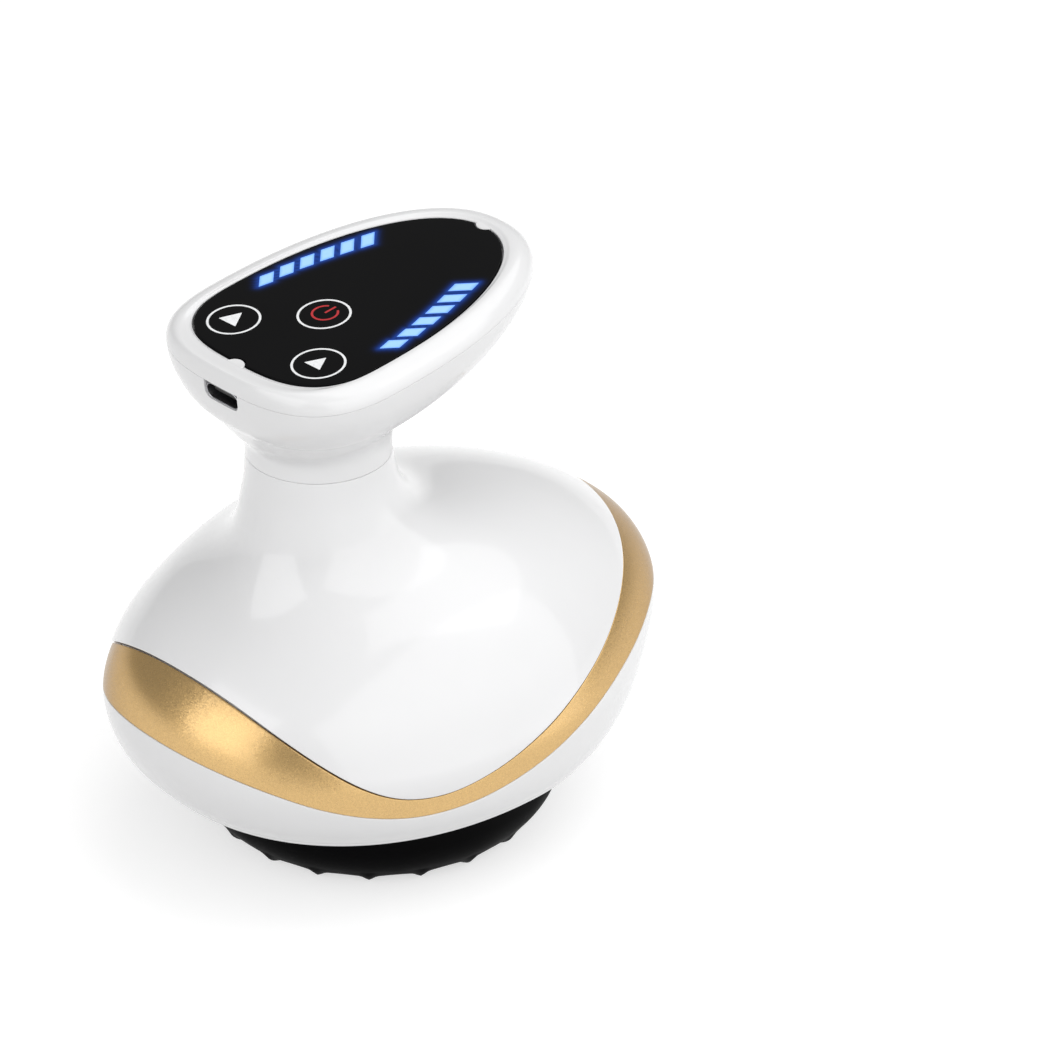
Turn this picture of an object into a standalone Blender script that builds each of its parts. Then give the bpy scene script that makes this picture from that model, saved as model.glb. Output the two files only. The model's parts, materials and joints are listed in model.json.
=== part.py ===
"""Palm-held electric cupping massager: an egg-shaped housing on a round scraping head, with a waisted
neck and a tilted handle that carries a touch panel. Metres, +Z up, +Y towards the handle's nose."""

import math

import bmesh
import bpy
import numpy as np
from mathutils import Matrix, Vector

# Whole housing
BODY_LENGTH = 0.1200
BODY_WIDTH = 0.0942
BODY_BOTTOM = 0.0192
BELL_RISE = 0.0646
NECK_FROM_BACK = 0.0424
NECK_RADIUS = 0.0139
WIDEST_STATION = 0.0166
WALL = 0.0018
GAP = 0.0003
OVERRUN = 0.0040

# Gold trim band
BAND_WALL = 0.0015
BAND_STEP = 0.0003
LIP_RISE = 0.0020

# Handle and touch panel
PANEL_RISE = 0.0272
PANEL_TILT = math.radians(5.56)
PANEL_SETBACK = 0.0006
PANEL_WIDTH = 0.0424
PANEL_FRONT = 0.0434
PANEL_BACK = 0.0186
LENS_THICKNESS = 0.0012
HANDLE_WIDTH = 0.0527
HANDLE_FRONT = 0.0492
HANDLE_BACK = 0.0234
RIM_HEIGHT = 0.0004
RIM_MARGIN = 0.0043
PARTING_DEPTH = 0.0032
BEZEL_WALL = 0.0010
LEDGE_WIDTH = 0.0012
SKIRT_DEPTH = 0.0020
SKIRT_SLOPE = 0.0014
TAB_RADIUS = 0.0021
TAB_REACH = 0.0010

# Touch keys, lamps and circuit board in the handle
KEY_SPACING = 0.0234
KEY_BACK = 0.0093
POWER_FORWARD = 0.0027
SPRING_RADIUS = 0.0030
SPRING_WIRE = 0.00025
SPRING_TURNS = 3
BOARD_THICKNESS = 0.0016
BOARD_MARGIN = 0.0003
BOARD_FRONT = 0.0400
BOARD_BACK = 0.0170
BACK_POST = (0.0182, -0.0085)
FRONT_POST = (0.0110, 0.0336)
POST_RADIUS = 0.0019
LAMP_COUNT = 6
LAMP_FIRST = (0.01765, 0.0040)
LAMP_LAST = (0.01315, 0.0258)
LAMP_BOW = 0.0008
LAMP_LENGTH = 0.0029
LAMP_REACH = 0.0029
LAMP_STRIP = 0.0022

# Charging socket
SOCKET_WIDTH = 0.00894
SOCKET_HEIGHT = 0.00326
SOCKET_LENGTH = 0.0073
SOCKET_WALL = 0.00030
SOCKET_INSET = 0.0006
TONGUE_WIDTH = 0.0067
TONGUE_THICKNESS = 0.0007
TONGUE_INSET = 0.0009
TONGUE_ROOT = 0.0016

# Neck joint
SPIGOT_LENGTH = 0.0060
WIRE_HOLE = 0.0050
NECK_SCREW_CIRCLE = 0.0078

# Scraping head
HEAD_FORWARD = 0.0130
HEAD_RADIUS = 0.0368
HEAD_FILLET = 0.0100
TIP_HEIGHT = 0.0007
TIP_COUNT = 20
TIP_PHASE = math.radians(9.0)
TIP_SLOPE = math.radians(68.0)
TIP_SUNK = 0.0012
TIP_HALF_WIDTH = 0.0017
TIP_HALF_LENGTH = 0.0045
TIP_HALF_HEIGHT = 0.0023
CUP_MOUTH = 0.0262
CUP_ROOF = 0.0235
CUP_DEPTH = 0.0132
FLOOR_HOLE = 0.0290
SEAL_RADIUS = 0.0307
SEAL_WIDTH = 0.0018
SEAL_HEIGHT = 0.0012
CLAMP_INNER = 0.0225
CLAMP_OUTER = 0.0317
CLAMP_THICKNESS = 0.0018
HEAD_SCREW_CIRCLE = 0.0262
HEATER_RADIUS = 0.0185
HEATER_THICKNESS = 0.0015
LIGHT_RING_WIDTH = 0.0030
NOZZLE_BORE = 0.0013
NOZZLE_RADIUS = 0.0021
NOZZLE_FLANGE = 0.0046
NOZZLE_RISE = 0.0100
FILTER_RADIUS = 0.0042
FILTER_THICKNESS = 0.0012

# Screws
SCREW_SHAFT = 0.0010
SCREW_HEAD = 0.0018
SCREW_HEAD_HEIGHT = 0.0014
SCREW_LENGTH = 0.0075
BOARD_SCREW_LENGTH = 0.0030
CASE_SCREW_CIRCLE = 0.0342
CASE_POST_RADIUS = 0.0026
CASE_POST_CLEARANCE = 0.0006

# Chassis, battery, pump and valve
CHASSIS_HEIGHT = 0.0060
CHASSIS_THICKNESS = 0.0020
CHASSIS_WIDTH = 0.0470
CHASSIS_FRONT = 0.0322
CHASSIS_BACK = 0.0445
CHASSIS_CORNER = 0.0080
COLUMN_EDGE = 0.0060
COLUMN_FRONT = 0.0300
COLUMN_BACK = 0.0412
SADDLE_HEIGHT = 0.0056
SADDLE_THICKNESS = 0.0040
BATTERY_RADIUS = 0.0092
BATTERY_LENGTH = 0.0652
BATTERY_CAP = 0.0040
BATTERY_CAP_HEIGHT = 0.0010
BATTERY_X = 0.0145
BATTERY_Y = -0.0056
PUMP_X = -0.0122
PUMP_REAR = -0.0290
PUMP_RADIUS = 0.0110
MOTOR_LENGTH = 0.0300
MOTOR_WALL = 0.0012
SHAFT_RADIUS = 0.00115
ROTOR_RADIUS = 0.0085
ROTOR_LENGTH = 0.0180
ECCENTRIC_RADIUS = 0.0035
ECCENTRIC_OFFSET = 0.0010
ECCENTRIC_LENGTH = 0.0045
PUMP_HEAD_LENGTH = 0.0200
PUMP_CAVITY_DEPTH = 0.0140
PUMP_CAVITY_RADIUS = 0.0092
MEMBRANE_THICKNESS = 0.0015
MEMBRANE_BOSS = 0.0025
PORT_RADIUS = 0.0016
PORT_BORE = 0.0008
PORT_LENGTH = 0.0040
OUTLET_RISE = 0.0060
VALVE_Y = 0.0370
VALVE_SIZE = (0.0144, 0.0092, 0.0120)
VALVE_BORE_X = 0.0034
VALVE_BORE_RADIUS = 0.0029
VALVE_PORT_X = -0.0038
VALVE_BASE = 0.0020
VALVE_SPRING_LENGTH = 0.0030
PLUNGER_OUT = 0.0013
TEE_RADIUS = 0.0021
TEE_RISE = 0.0044
TEE_ARM = 0.0042
TUBE_RADIUS = 0.0019
LOOM_RADIUS = 0.0015
LOOM_SOCKET = (0.0080, 0.0060, 0.0050)
LOOM_SOCKET_Y = -0.0360

# Finish of the mesh
COLUMNS = 28
TURN_STEPS = 28
RING_STEPS = 20
SMALL_STEPS = 8
MERGE = 0.00001
PROBE = 0.00001

# Derived places
NECK_Y = NECK_FROM_BACK - BODY_LENGTH / 2
HEAD_Y = NECK_Y + HEAD_FORWARD
NECK_JOINT = BODY_BOTTOM + BELL_RISE
PANEL_HEIGHT = NECK_JOINT + PANEL_RISE
PANEL_Y = NECK_Y - PANEL_SETBACK
FLOOR_TOP = BODY_BOTTOM + WALL
LIP_INSET = WALL + 4 * GAP / 3
LEDGE_DEPTH = LENS_THICKNESS + GAP
NECK_SHARE = 1 - GAP / 2 / BELL_RISE
SOCKET_DEPTH = PARTING_DEPTH + GAP + SOCKET_HEIGHT / 2
BOARD_DEPTH = SOCKET_DEPTH + SOCKET_HEIGHT / 2 + GAP
SPIGOT_RADIUS = NECK_RADIUS - WALL - GAP
SPIGOT_BOTTOM = NECK_JOINT - SPIGOT_LENGTH
HEAD_TOP = BODY_BOTTOM - GAP
CUP_ROOF_HEIGHT = TIP_HEIGHT + CUP_DEPTH
CLAMP_BOTTOM = FLOOR_TOP + GAP
CHASSIS_BOTTOM = FLOOR_TOP + CHASSIS_HEIGHT - CHASSIS_THICKNESS
COLUMN_X = CHASSIS_WIDTH / 2 - COLUMN_EDGE
CASE_SCREW_X = CHASSIS_WIDTH / 2 + CASE_POST_CLEARANCE + CASE_POST_RADIUS
CASE_SCREW_ANGLE = math.acos(CASE_SCREW_X / CASE_SCREW_CIRCLE)
CHASSIS_TOP = FLOOR_TOP + CHASSIS_HEIGHT
BATTERY_HEIGHT = CHASSIS_TOP + GAP + BATTERY_RADIUS
PUMP_HEIGHT = CHASSIS_TOP + GAP + PUMP_RADIUS
PUMP_FRONT = PUMP_REAR + MOTOR_LENGTH + GAP + PUMP_HEAD_LENGTH
SCREW_HOLE = SCREW_SHAFT + GAP
VALVE_FLOOR = FLOOR_TOP + GAP
VALVE_TOP = VALVE_FLOOR + VALVE_SIZE[2]
TEE_HEIGHT = VALVE_TOP + TEE_RISE

# The bell from its underside (0) to the neck joint (1): forward, backward and sideways reach between the
# neck's radius (0) and the girth (1)
BELL_SHARES = (
    (0.000, 0.729, 0.756, 0.903),
    (0.040, 0.793, 0.848, 0.970),
    (0.113, 0.891, 0.943, 0.999),
    (0.204, 0.946, 0.997, 0.999),
    (0.286, 1.000, 0.981, 0.947),
    (0.386, 0.955, 0.903, 0.857),
    (0.459, 0.882, 0.750, 0.763),
    (0.514, 0.808, 0.610, 0.685),
    (0.596, 0.665, 0.353, 0.526),
    (0.668, 0.472, 0.208, 0.328),
    (0.741, 0.183, 0.105, 0.166),
    (0.787, 0.083, 0.073, 0.104),
    (0.842, 0.024, 0.045, 0.066),
    (0.914, 0.002, 0.010, 0.024),
    (1.000, 0.000, 0.000, 0.000),
)
GIRTH_SHARE = 0.159
FRONT_POWER = 1.86
BACK_POWER = 2.15
BELL_ROW_SHARES = (0.0, 0.16, 0.26, 0.35, 0.44, 0.55, 0.68, 0.83, 0.97, 1.0)
LOWER_ROW_SHARES = (0.0, 0.06, 0.42, 0.76, 1.0)
BAND_ROW_SHARES = (0.0, 0.08, 0.50, 0.92, 1.0)

# The band's two edges: share of the body's length from its back, share of the bell's rise
BAND_TOP_SHARES = (
    (0.061, 0.468),
    (0.085, 0.395),
    (0.120, 0.313),
    (0.168, 0.231),
    (0.228, 0.177),
    (0.282, 0.168),
    (0.345, 0.186),
    (0.463, 0.244),
    (0.620, 0.335),
    (0.758, 0.423),
    (0.898, 0.499),
)
BAND_BOTTOM_SHARES = (
    (0.002, 0.277),
    (0.061, 0.222),
    (0.120, 0.168),
    (0.188, 0.127),
    (0.257, 0.109),
    (0.316, 0.113),
    (0.414, 0.140),
    (0.561, 0.209),
    (0.718, 0.273),
    (0.856, 0.304),
    (0.934, 0.295),
    (1.000, 0.277),
)

# The handle's shell from its parting line down: forward reach and height, backward reach and height,
# sideways reach, each from the neck (0) to the parting line (1)
HANDLE_SHARES = (
    (1.000, 1.000, 1.000, 1.000, 1.000),
    (0.985, 0.925, 0.990, 0.920, 0.985),
    (0.918, 0.817, 0.943, 0.804, 0.922),
    (0.793, 0.662, 0.784, 0.583, 0.735),
    (0.527, 0.534, 0.621, 0.500, 0.565),
    (0.328, 0.489, 0.438, 0.441, 0.376),
    (0.144, 0.440, 0.282, 0.377, 0.203),
    (0.041, 0.330, 0.115, 0.302, 0.067),
    (0.000, 0.177, 0.010, 0.150, 0.010),
    (0.000, 0.000, 0.000, 0.000, 0.000),
)
HANDLE_FRONT_POWER = 2.20
HANDLE_BACK_POWER = 2.96
PANEL_FRONT_POWER = 2.10
PANEL_BACK_POWER = 3.00
RIM_BACK_SHARE = 0.22
RIM_ROUND_SHARE = 0.72
LAMP_SLANT_SHARE = 0.98


def new_collection(name):
    collection = bpy.data.collections.new(name)
    bpy.context.scene.collection.children.link(collection)
    return collection


for old in list(bpy.data.objects):
    bpy.data.objects.remove(old, do_unlink=True)

MASSAGER = new_collection("cupping_massager")
CUTTERS = new_collection("cutters")


def material(name, color, roughness, metallic=0.0):
    """One plain surface finish; a finish that is asked for twice is made once."""
    finish = bpy.data.materials.get(name) or bpy.data.materials.new(name)
    finish.use_nodes = True
    shader = finish.node_tree.nodes["Principled BSDF"]
    shader.inputs["Base Color"].default_value = (*color, 1.0)
    shader.inputs["Roughness"].default_value = roughness
    shader.inputs["Metallic"].default_value = metallic
    return finish


def paint(part, finish):
    """Give the part a material of its own, copied from the finish and named after the part."""
    color, roughness, metallic = finish
    part.data.materials.clear()
    part.data.materials.append(material(part.name + "_finish", color, roughness, metallic))


WHITE_ABS = ((0.86, 0.86, 0.87), 0.22, 0.0)
GOLD_PAINT = ((0.62, 0.42, 0.18), 0.34, 0.8)
BLACK_ABS = ((0.012, 0.012, 0.012), 0.45, 0.0)
BLACK_GLASS = ((0.008, 0.008, 0.009), 0.13, 0.0)
GREY_ABS = ((0.35, 0.36, 0.37), 0.5, 0.0)
CIRCUIT_GREEN = ((0.02, 0.16, 0.07), 0.45, 0.0)
LAMP_DIFFUSER = ((0.62, 0.78, 0.95), 0.35, 0.0)
SPRING_STEEL = ((0.62, 0.61, 0.58), 0.3, 1.0)
SCREW_STEEL = ((0.5, 0.5, 0.5), 0.35, 1.0)
SOCKET_STEEL = ((0.42, 0.42, 0.44), 0.3, 1.0)
ALUMINIUM = ((0.75, 0.76, 0.77), 0.35, 1.0)
RED_LENS = ((0.55, 0.02, 0.02), 0.25, 0.0)
GREY_RUBBER = ((0.2, 0.2, 0.2), 0.8, 0.0)
CLEAR_SILICONE = ((0.82, 0.83, 0.82), 0.4, 0.0)
FOAM = ((0.7, 0.7, 0.66), 0.95, 0.0)
BATTERY_WRAP = ((0.05, 0.17, 0.42), 0.35, 0.0)
COPPER = ((0.72, 0.38, 0.2), 0.4, 1.0)


def place(part, finish, parent=None):
    """Put a finished piece in the model's collection."""
    MASSAGER.objects.link(part)
    part.parent = parent
    paint(part, finish)
    part.data.shade_smooth()
    part.data.set_sharp_from_angle(angle=math.radians(35.0))
    return part


def hide(cutter, parent=None):
    """Put a cutter or a guide among the cutters, out of the finished model."""
    CUTTERS.objects.link(cutter)
    cutter.parent = parent
    cutter.hide_render = True
    cutter.display_type = "WIRE"
    return cutter


def mesh_from(name, points, faces):
    mesh = bpy.data.meshes.new(name)
    mesh.from_pydata([tuple(p) for p in points], [], faces)
    mesh.update()
    return bpy.data.objects.new(name, mesh)


def loft(name, rows, cap_first=False, cap_last=False, closed=False):
    """Closed rings of points joined row to row; the rings run anticlockwise seen from above."""
    count = len(rows[0])
    points = [p for row in rows for p in row]
    faces = []
    for r in range(len(rows) if closed else len(rows) - 1):
        low = (r + 1) % len(rows)
        for c in range(count):
            after = (c + 1) % count
            faces.append((r * count + c, low * count + c, low * count + after, r * count + after))
    if cap_first:
        faces.append(tuple(range(count)))
    if cap_last:
        last = (len(rows) - 1) * count
        faces.append(tuple(last + c for c in reversed(range(count))))
    return mesh_from(name, points, faces)


def thicken(part, wall):
    """Turn an open skin into a wall that grows inwards from it."""
    wall_modifier = part.modifiers.new("wall", "SOLIDIFY")
    wall_modifier.thickness = wall
    wall_modifier.offset = -1.0
    wall_modifier.use_even_offset = True
    return part


def boolean(part, other, operation):
    step = part.modifiers.new(operation.lower(), "BOOLEAN")
    step.object = other
    step.operation = operation
    step.solver = "EXACT"
    return part


def turned(name, profile, steps=TURN_STEPS):
    """A profile of (radius, height) points turned about Z; its outer side runs top to bottom."""
    ends_on_axis = profile[0][0] == 0 and profile[-1][0] == 0
    points = [(r, 0.0, z) for r, z in profile]
    edges = [(i, i + 1) for i in range(len(points) - 1)]
    if not ends_on_axis:
        edges.append((len(points) - 1, 0))
    mesh = bpy.data.meshes.new(name)
    mesh.from_pydata(points, edges, [])
    part = bpy.data.objects.new(name, mesh)
    turn = part.modifiers.new("turn", "SCREW")
    turn.steps = steps
    turn.render_steps = steps
    turn.use_merge_vertices = True
    turn.merge_threshold = MERGE
    return part


def joined(name, solids):
    """Several separate primitives as one object, for use as a cutter or before a union."""
    mesh = bpy.data.meshes.new(name)
    blank = bmesh.new()
    for solid in solids:
        blank.from_mesh(solid)
        bpy.data.meshes.remove(solid)
    blank.to_mesh(mesh)
    blank.free()
    return bpy.data.objects.new(name, mesh)


def cylinder_mesh(radius, low, high, x=0.0, y=0.0, steps=16, top_radius=None):
    """A cylinder or cone standing on Z between two heights."""
    solid = bmesh.new()
    middle = Matrix.Translation((x, y, (low + high) / 2))
    bmesh.ops.create_cone(
        solid,
        cap_ends=True,
        segments=steps,
        radius1=radius,
        radius2=radius if top_radius is None else top_radius,
        depth=high - low,
        matrix=middle,
    )
    mesh = bpy.data.meshes.new("cylinder")
    solid.to_mesh(mesh)
    solid.free()
    return mesh


def box_mesh(low, high):
    """A box between two corners."""
    low, high = Vector(low), Vector(high)
    solid = bmesh.new()
    size = Matrix.Diagonal((*(high - low), 1.0))
    bmesh.ops.create_cube(solid, size=1.0, matrix=Matrix.Translation((low + high) / 2) @ size)
    mesh = bpy.data.meshes.new("box")
    solid.to_mesh(mesh)
    solid.free()
    return mesh


def plate(name, outline, low, high):
    """A flat outline with thickness between two heights, as a mesh."""
    curve = bpy.data.curves.new(name, "CURVE")
    curve.dimensions = "2D"
    curve.fill_mode = "BOTH"
    curve.extrude = (high - low) / 2
    spline = curve.splines.new("POLY")
    spline.points.add(len(outline) - 1)
    for point, (x, y) in zip(spline.points, outline):
        point.co = (x, y, 0.0, 1.0)
    spline.use_cyclic_u = True
    drawn = bpy.data.objects.new(name + "_outline", curve)
    drawn.location = (0.0, 0.0, (low + high) / 2)
    return curve_to_mesh(drawn, name)


def curve_to_mesh(drawn, name):
    """The evaluated curve as a mesh object with its caps welded."""
    CUTTERS.objects.link(drawn)
    bpy.context.view_layer.update()
    seen = drawn.evaluated_get(bpy.context.evaluated_depsgraph_get())
    mesh = bpy.data.meshes.new_from_object(seen)
    mesh.transform(drawn.matrix_world)
    weld = bmesh.new()
    weld.from_mesh(mesh)
    bmesh.ops.remove_doubles(weld, verts=weld.verts, dist=MERGE)
    bmesh.ops.recalc_face_normals(weld, faces=weld.faces)
    weld.to_mesh(mesh)
    weld.free()
    bpy.data.objects.remove(drawn, do_unlink=True)
    mesh.name = name
    return bpy.data.objects.new(name, mesh)


def smooth_path(points, count):
    """Evenly counted points on a smooth curve through the given ones."""
    points = [Vector(p) for p in points]
    ends = [2 * points[0] - points[1]] + points + [2 * points[-1] - points[-2]]
    path = []
    for i in range(count):
        place = i * (len(points) - 1) / (count - 1)
        k = min(int(place), len(points) - 2)
        t = place - k
        before, start, stop, after = ends[k : k + 4]
        path.append(
            (
                2 * start
                + (stop - before) * t
                + (2 * before - 5 * start + 4 * stop - after) * t * t
                + (3 * start - before - 3 * stop + after) * t**3
            )
            / 2
        )
    return path


def tube(name, path, radius, resolution=1):
    """A round solid along a path."""
    curve = bpy.data.curves.new(name, "CURVE")
    curve.dimensions = "3D"
    curve.bevel_depth = radius
    curve.bevel_resolution = resolution
    curve.use_fill_caps = True
    spline = curve.splines.new("POLY")
    spline.points.add(len(path) - 1)
    for point, place_on_path in zip(spline.points, path):
        point.co = (*place_on_path, 1.0)
    return curve_to_mesh(bpy.data.objects.new(name + "_path", curve), name)


def coil_path(radius, low, high, turns, points_per_turn=7):
    """A helix about Z between two heights."""
    count = turns * points_per_turn
    path = []
    for i in range(count + 1):
        angle = math.tau * i / points_per_turn
        path.append((radius * math.cos(angle), radius * math.sin(angle), low + (high - low) * i / count))
    return path


def smooth_curve(points):
    """A function through (place, value) points that turns only where they do."""
    places, values = np.array(points, dtype=float).T
    steps = np.diff(places)
    slopes = np.diff(values) / steps
    tangents = np.zeros(len(places))
    tangents[0], tangents[-1] = slopes[0], slopes[-1]
    for i in range(1, len(places) - 1):
        if slopes[i - 1] * slopes[i] > 0:
            first = 2 * steps[i] + steps[i - 1]
            second = steps[i] + 2 * steps[i - 1]
            tangents[i] = (first + second) / (first / slopes[i - 1] + second / slopes[i])

    def value(place):
        if place <= places[0]:
            return values[0] + tangents[0] * (place - places[0])
        if place >= places[-1]:
            return values[-1] + tangents[-1] * (place - places[-1])
        i = int(np.searchsorted(places, place)) - 1
        t = (place - places[i]) / steps[i]
        return (
            (1 + 2 * t) * (1 - t) ** 2 * values[i]
            + t * (1 - t) ** 2 * steps[i] * tangents[i]
            + t * t * (3 - 2 * t) * values[i + 1]
            + t * t * (t - 1) * steps[i] * tangents[i + 1]
        )

    return value


front_share = smooth_curve([(row[0], row[1]) for row in BELL_SHARES])
back_share = smooth_curve([(row[0], row[2]) for row in BELL_SHARES])
side_share = smooth_curve([(row[0], row[3]) for row in BELL_SHARES])
band_top = smooth_curve(BAND_TOP_SHARES)
band_bottom = smooth_curve(BAND_BOTTOM_SHARES)
ANGLES = [math.tau * k / COLUMNS for k in range(COLUMNS)]


def between(low, high, share):
    return low + (high - low) * share


def oval_point(angle, half_width, front, back, front_power, back_power):
    """A point of an egg-shaped outline whose widest station is at y = 0."""
    across, along = math.cos(angle), math.sin(angle)
    power, reach = (front_power, front) if along > 0 else (back_power, back)
    x = half_width * math.copysign(abs(across) ** (2 / power), across)
    y = reach * math.copysign(abs(along) ** (2 / power), along)
    return x, y


def bell_section(share):
    """Half width, widest station, reach ahead of and behind it, and the two powers, at a share of the rise."""
    front = between(NECK_RADIUS, BODY_LENGTH - NECK_FROM_BACK, front_share(share))
    back = between(NECK_RADIUS, NECK_FROM_BACK, back_share(share))
    half_width = between(NECK_RADIUS, BODY_WIDTH / 2, side_share(share))
    blend = min(max((1 - share) / (1 - GIRTH_SHARE), 0), 1)
    blend = blend * blend * (3 - 2 * blend)
    station = between((front - back) / 2, WIDEST_STATION, blend)
    return (
        half_width,
        station,
        front - station,
        back + station,
        between(2, FRONT_POWER, blend),
        between(2, BACK_POWER, blend),
    )


def bell_point(angle, share):
    """A point of the bell's outer skin."""
    half_width, station, ahead, behind, front_power, back_power = bell_section(share)
    x, y = oval_point(angle, half_width, ahead, behind, front_power, back_power)
    return Vector((x, NECK_Y + station + y, BODY_BOTTOM + BELL_RISE * share))


def bell_fullness(point):
    """Below 1 inside the bell's outer skin and above 1 outside it."""
    share = (point.z - BODY_BOTTOM) / BELL_RISE
    half_width, station, ahead, behind, front_power, back_power = bell_section(share)
    y = point.y - NECK_Y - station
    power, reach = (front_power, ahead) if y > 0 else (back_power, behind)
    return abs(point.x / half_width) ** power + abs(y / reach) ** power


def bell_normal(point):
    """The outward direction of the bell's skin at a point."""
    slope = Vector()
    for axis in range(3):
        step = Vector()
        step[axis] = PROBE
        slope[axis] = bell_fullness(point + step) - bell_fullness(point - step)
    return slope.normalized()


def bell_skin(angle, share, inset=0.0):
    """A point of the bell's skin, moved inwards square to it."""
    point = bell_point(angle, share)
    return point - bell_normal(point) * inset if inset else point


def edge_share(angle, edge):
    """The share of the rise at which an edge of the gold band crosses one column of the bell."""
    low, high = 0.0, 1.0
    for _ in range(30):
        middle = (low + high) / 2
        from_back = (bell_point(angle, middle).y + BODY_LENGTH / 2) / BODY_LENGTH
        if middle < edge(from_back):
            low = middle
        else:
            high = middle
    return low


def edge_margins(shares):
    """Half the parting gap at each column, as a share of the rise, measured square to the edge on the skin."""
    points = [bell_point(angle, share) for angle, share in zip(ANGLES, shares)]
    margins = []
    for k, share in enumerate(shares):
        along = (points[(k + 1) % COLUMNS] - points[k - 1]).normalized()
        down_skin = (bell_point(ANGLES[k], share + MERGE) - bell_point(ANGLES[k], share - MERGE)) / (2 * MERGE)
        margins.append(GAP / 2 / down_skin.cross(along).length)
    return margins


TOP_EDGE = [edge_share(angle, band_top) for angle in ANGLES]
BOTTOM_EDGE = [edge_share(angle, band_bottom) for angle in ANGLES]
TOP_MARGIN = edge_margins(TOP_EDGE)
BOTTOM_MARGIN = edge_margins(BOTTOM_EDGE)
ABOVE_TOP = [edge + margin for edge, margin in zip(TOP_EDGE, TOP_MARGIN)]
BELOW_TOP = [edge - margin for edge, margin in zip(TOP_EDGE, TOP_MARGIN)]
ABOVE_BOTTOM = [edge + margin for edge, margin in zip(BOTTOM_EDGE, BOTTOM_MARGIN)]
BELOW_BOTTOM = [edge - margin for edge, margin in zip(BOTTOM_EDGE, BOTTOM_MARGIN)]


def skin_row(shares, inset=0.0):
    return [bell_skin(angle, share, inset) for angle, share in zip(ANGLES, shares)]


def level_ring(radius, height, y=0.0):
    """A round ring of points with the same columns as the skin."""
    return [Vector((radius * math.cos(a), y + radius * math.sin(a), height)) for a in ANGLES]


def bell_core(inset):
    """The bell's inside as a solid, used to trim posts and flanges to the wall."""
    rows = [skin_row([share] * COLUMNS, inset) for share in reversed([row[0] for row in BELL_SHARES[1:]])]
    return hide(loft("bell_core", rows, cap_first=True, cap_last=True))


def screw_places(circle, count, first, y):
    return [
        (circle * math.cos(first + math.tau * k / count), y + circle * math.sin(first + math.tau * k / count))
        for k in range(count)
    ]


CASE_SCREWS = [
    (side * CASE_SCREW_CIRCLE * math.cos(CASE_SCREW_ANGLE), HEAD_Y + end * CASE_SCREW_CIRCLE * math.sin(CASE_SCREW_ANGLE))
    for side in (-1, 1)
    for end in (-1, 1)
]
CHASSIS_SCREWS = [(side * COLUMN_X, y) for side in (-1, 1) for y in (-COLUMN_BACK, COLUMN_FRONT)]
NECK_SCREWS = screw_places(NECK_SCREW_CIRCLE, 3, math.radians(90.0), NECK_Y)
HEAD_SCREWS = screw_places(HEAD_SCREW_CIRCLE, 3, math.radians(30.0), HEAD_Y)


def build_upper_shell():
    """The white bell from the neck down to the gold band, with its screw posts and neck flange."""
    rows = []
    for row_share in BELL_ROW_SHARES:
        shares = [between(NECK_SHARE, edge, row_share) for edge in ABOVE_TOP]
        rows.append(skin_row(shares))
    shell = thicken(loft("body_upper_shell", rows), WALL)
    flange_top = SPIGOT_BOTTOM - GAP
    inner = [cylinder_mesh(BODY_WIDTH, flange_top - WALL, flange_top, y=NECK_Y, steps=COLUMNS)]
    inner += [cylinder_mesh(CASE_POST_RADIUS, FLOOR_TOP + GAP, SPIGOT_BOTTOM - 2 * WALL, x, y) for x, y in CASE_SCREWS]
    inner = hide(joined("upper_shell_posts", inner))
    boolean(inner, bell_core(WALL / 2), "INTERSECT")
    boolean(shell, inner, "UNION")
    holes = [cylinder_mesh(WIRE_HOLE, flange_top - 2 * WALL, flange_top + WALL, y=NECK_Y)]
    holes += [cylinder_mesh(SCREW_HOLE, flange_top - 2 * WALL, flange_top + WALL, x, y, SMALL_STEPS) for x, y in NECK_SCREWS]
    top_of_holes = FLOOR_TOP + GAP + SCREW_LENGTH
    holes += [cylinder_mesh(SCREW_HOLE, BODY_BOTTOM, top_of_holes, x, y, SMALL_STEPS) for x, y in CASE_SCREWS]
    boolean(shell, hide(joined("upper_shell_holes", holes)), "DIFFERENCE")
    return place(shell, WHITE_ABS)


def build_gold_band():
    """The painted band that sweeps round the body, a little below the shell above it."""
    outer, inner = [], []
    for row_share in BAND_ROW_SHARES:
        shares = [between(top, bottom, row_share) for top, bottom in zip(BELOW_TOP, ABOVE_BOTTOM)]
        step = between(BAND_STEP, 0, row_share)
        outer.append(skin_row(shares, step))
        inner.append(skin_row(shares, BAND_WALL + step))
    return place(loft("gold_trim_band", outer + inner[::-1], closed=True), GOLD_PAINT)


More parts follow.
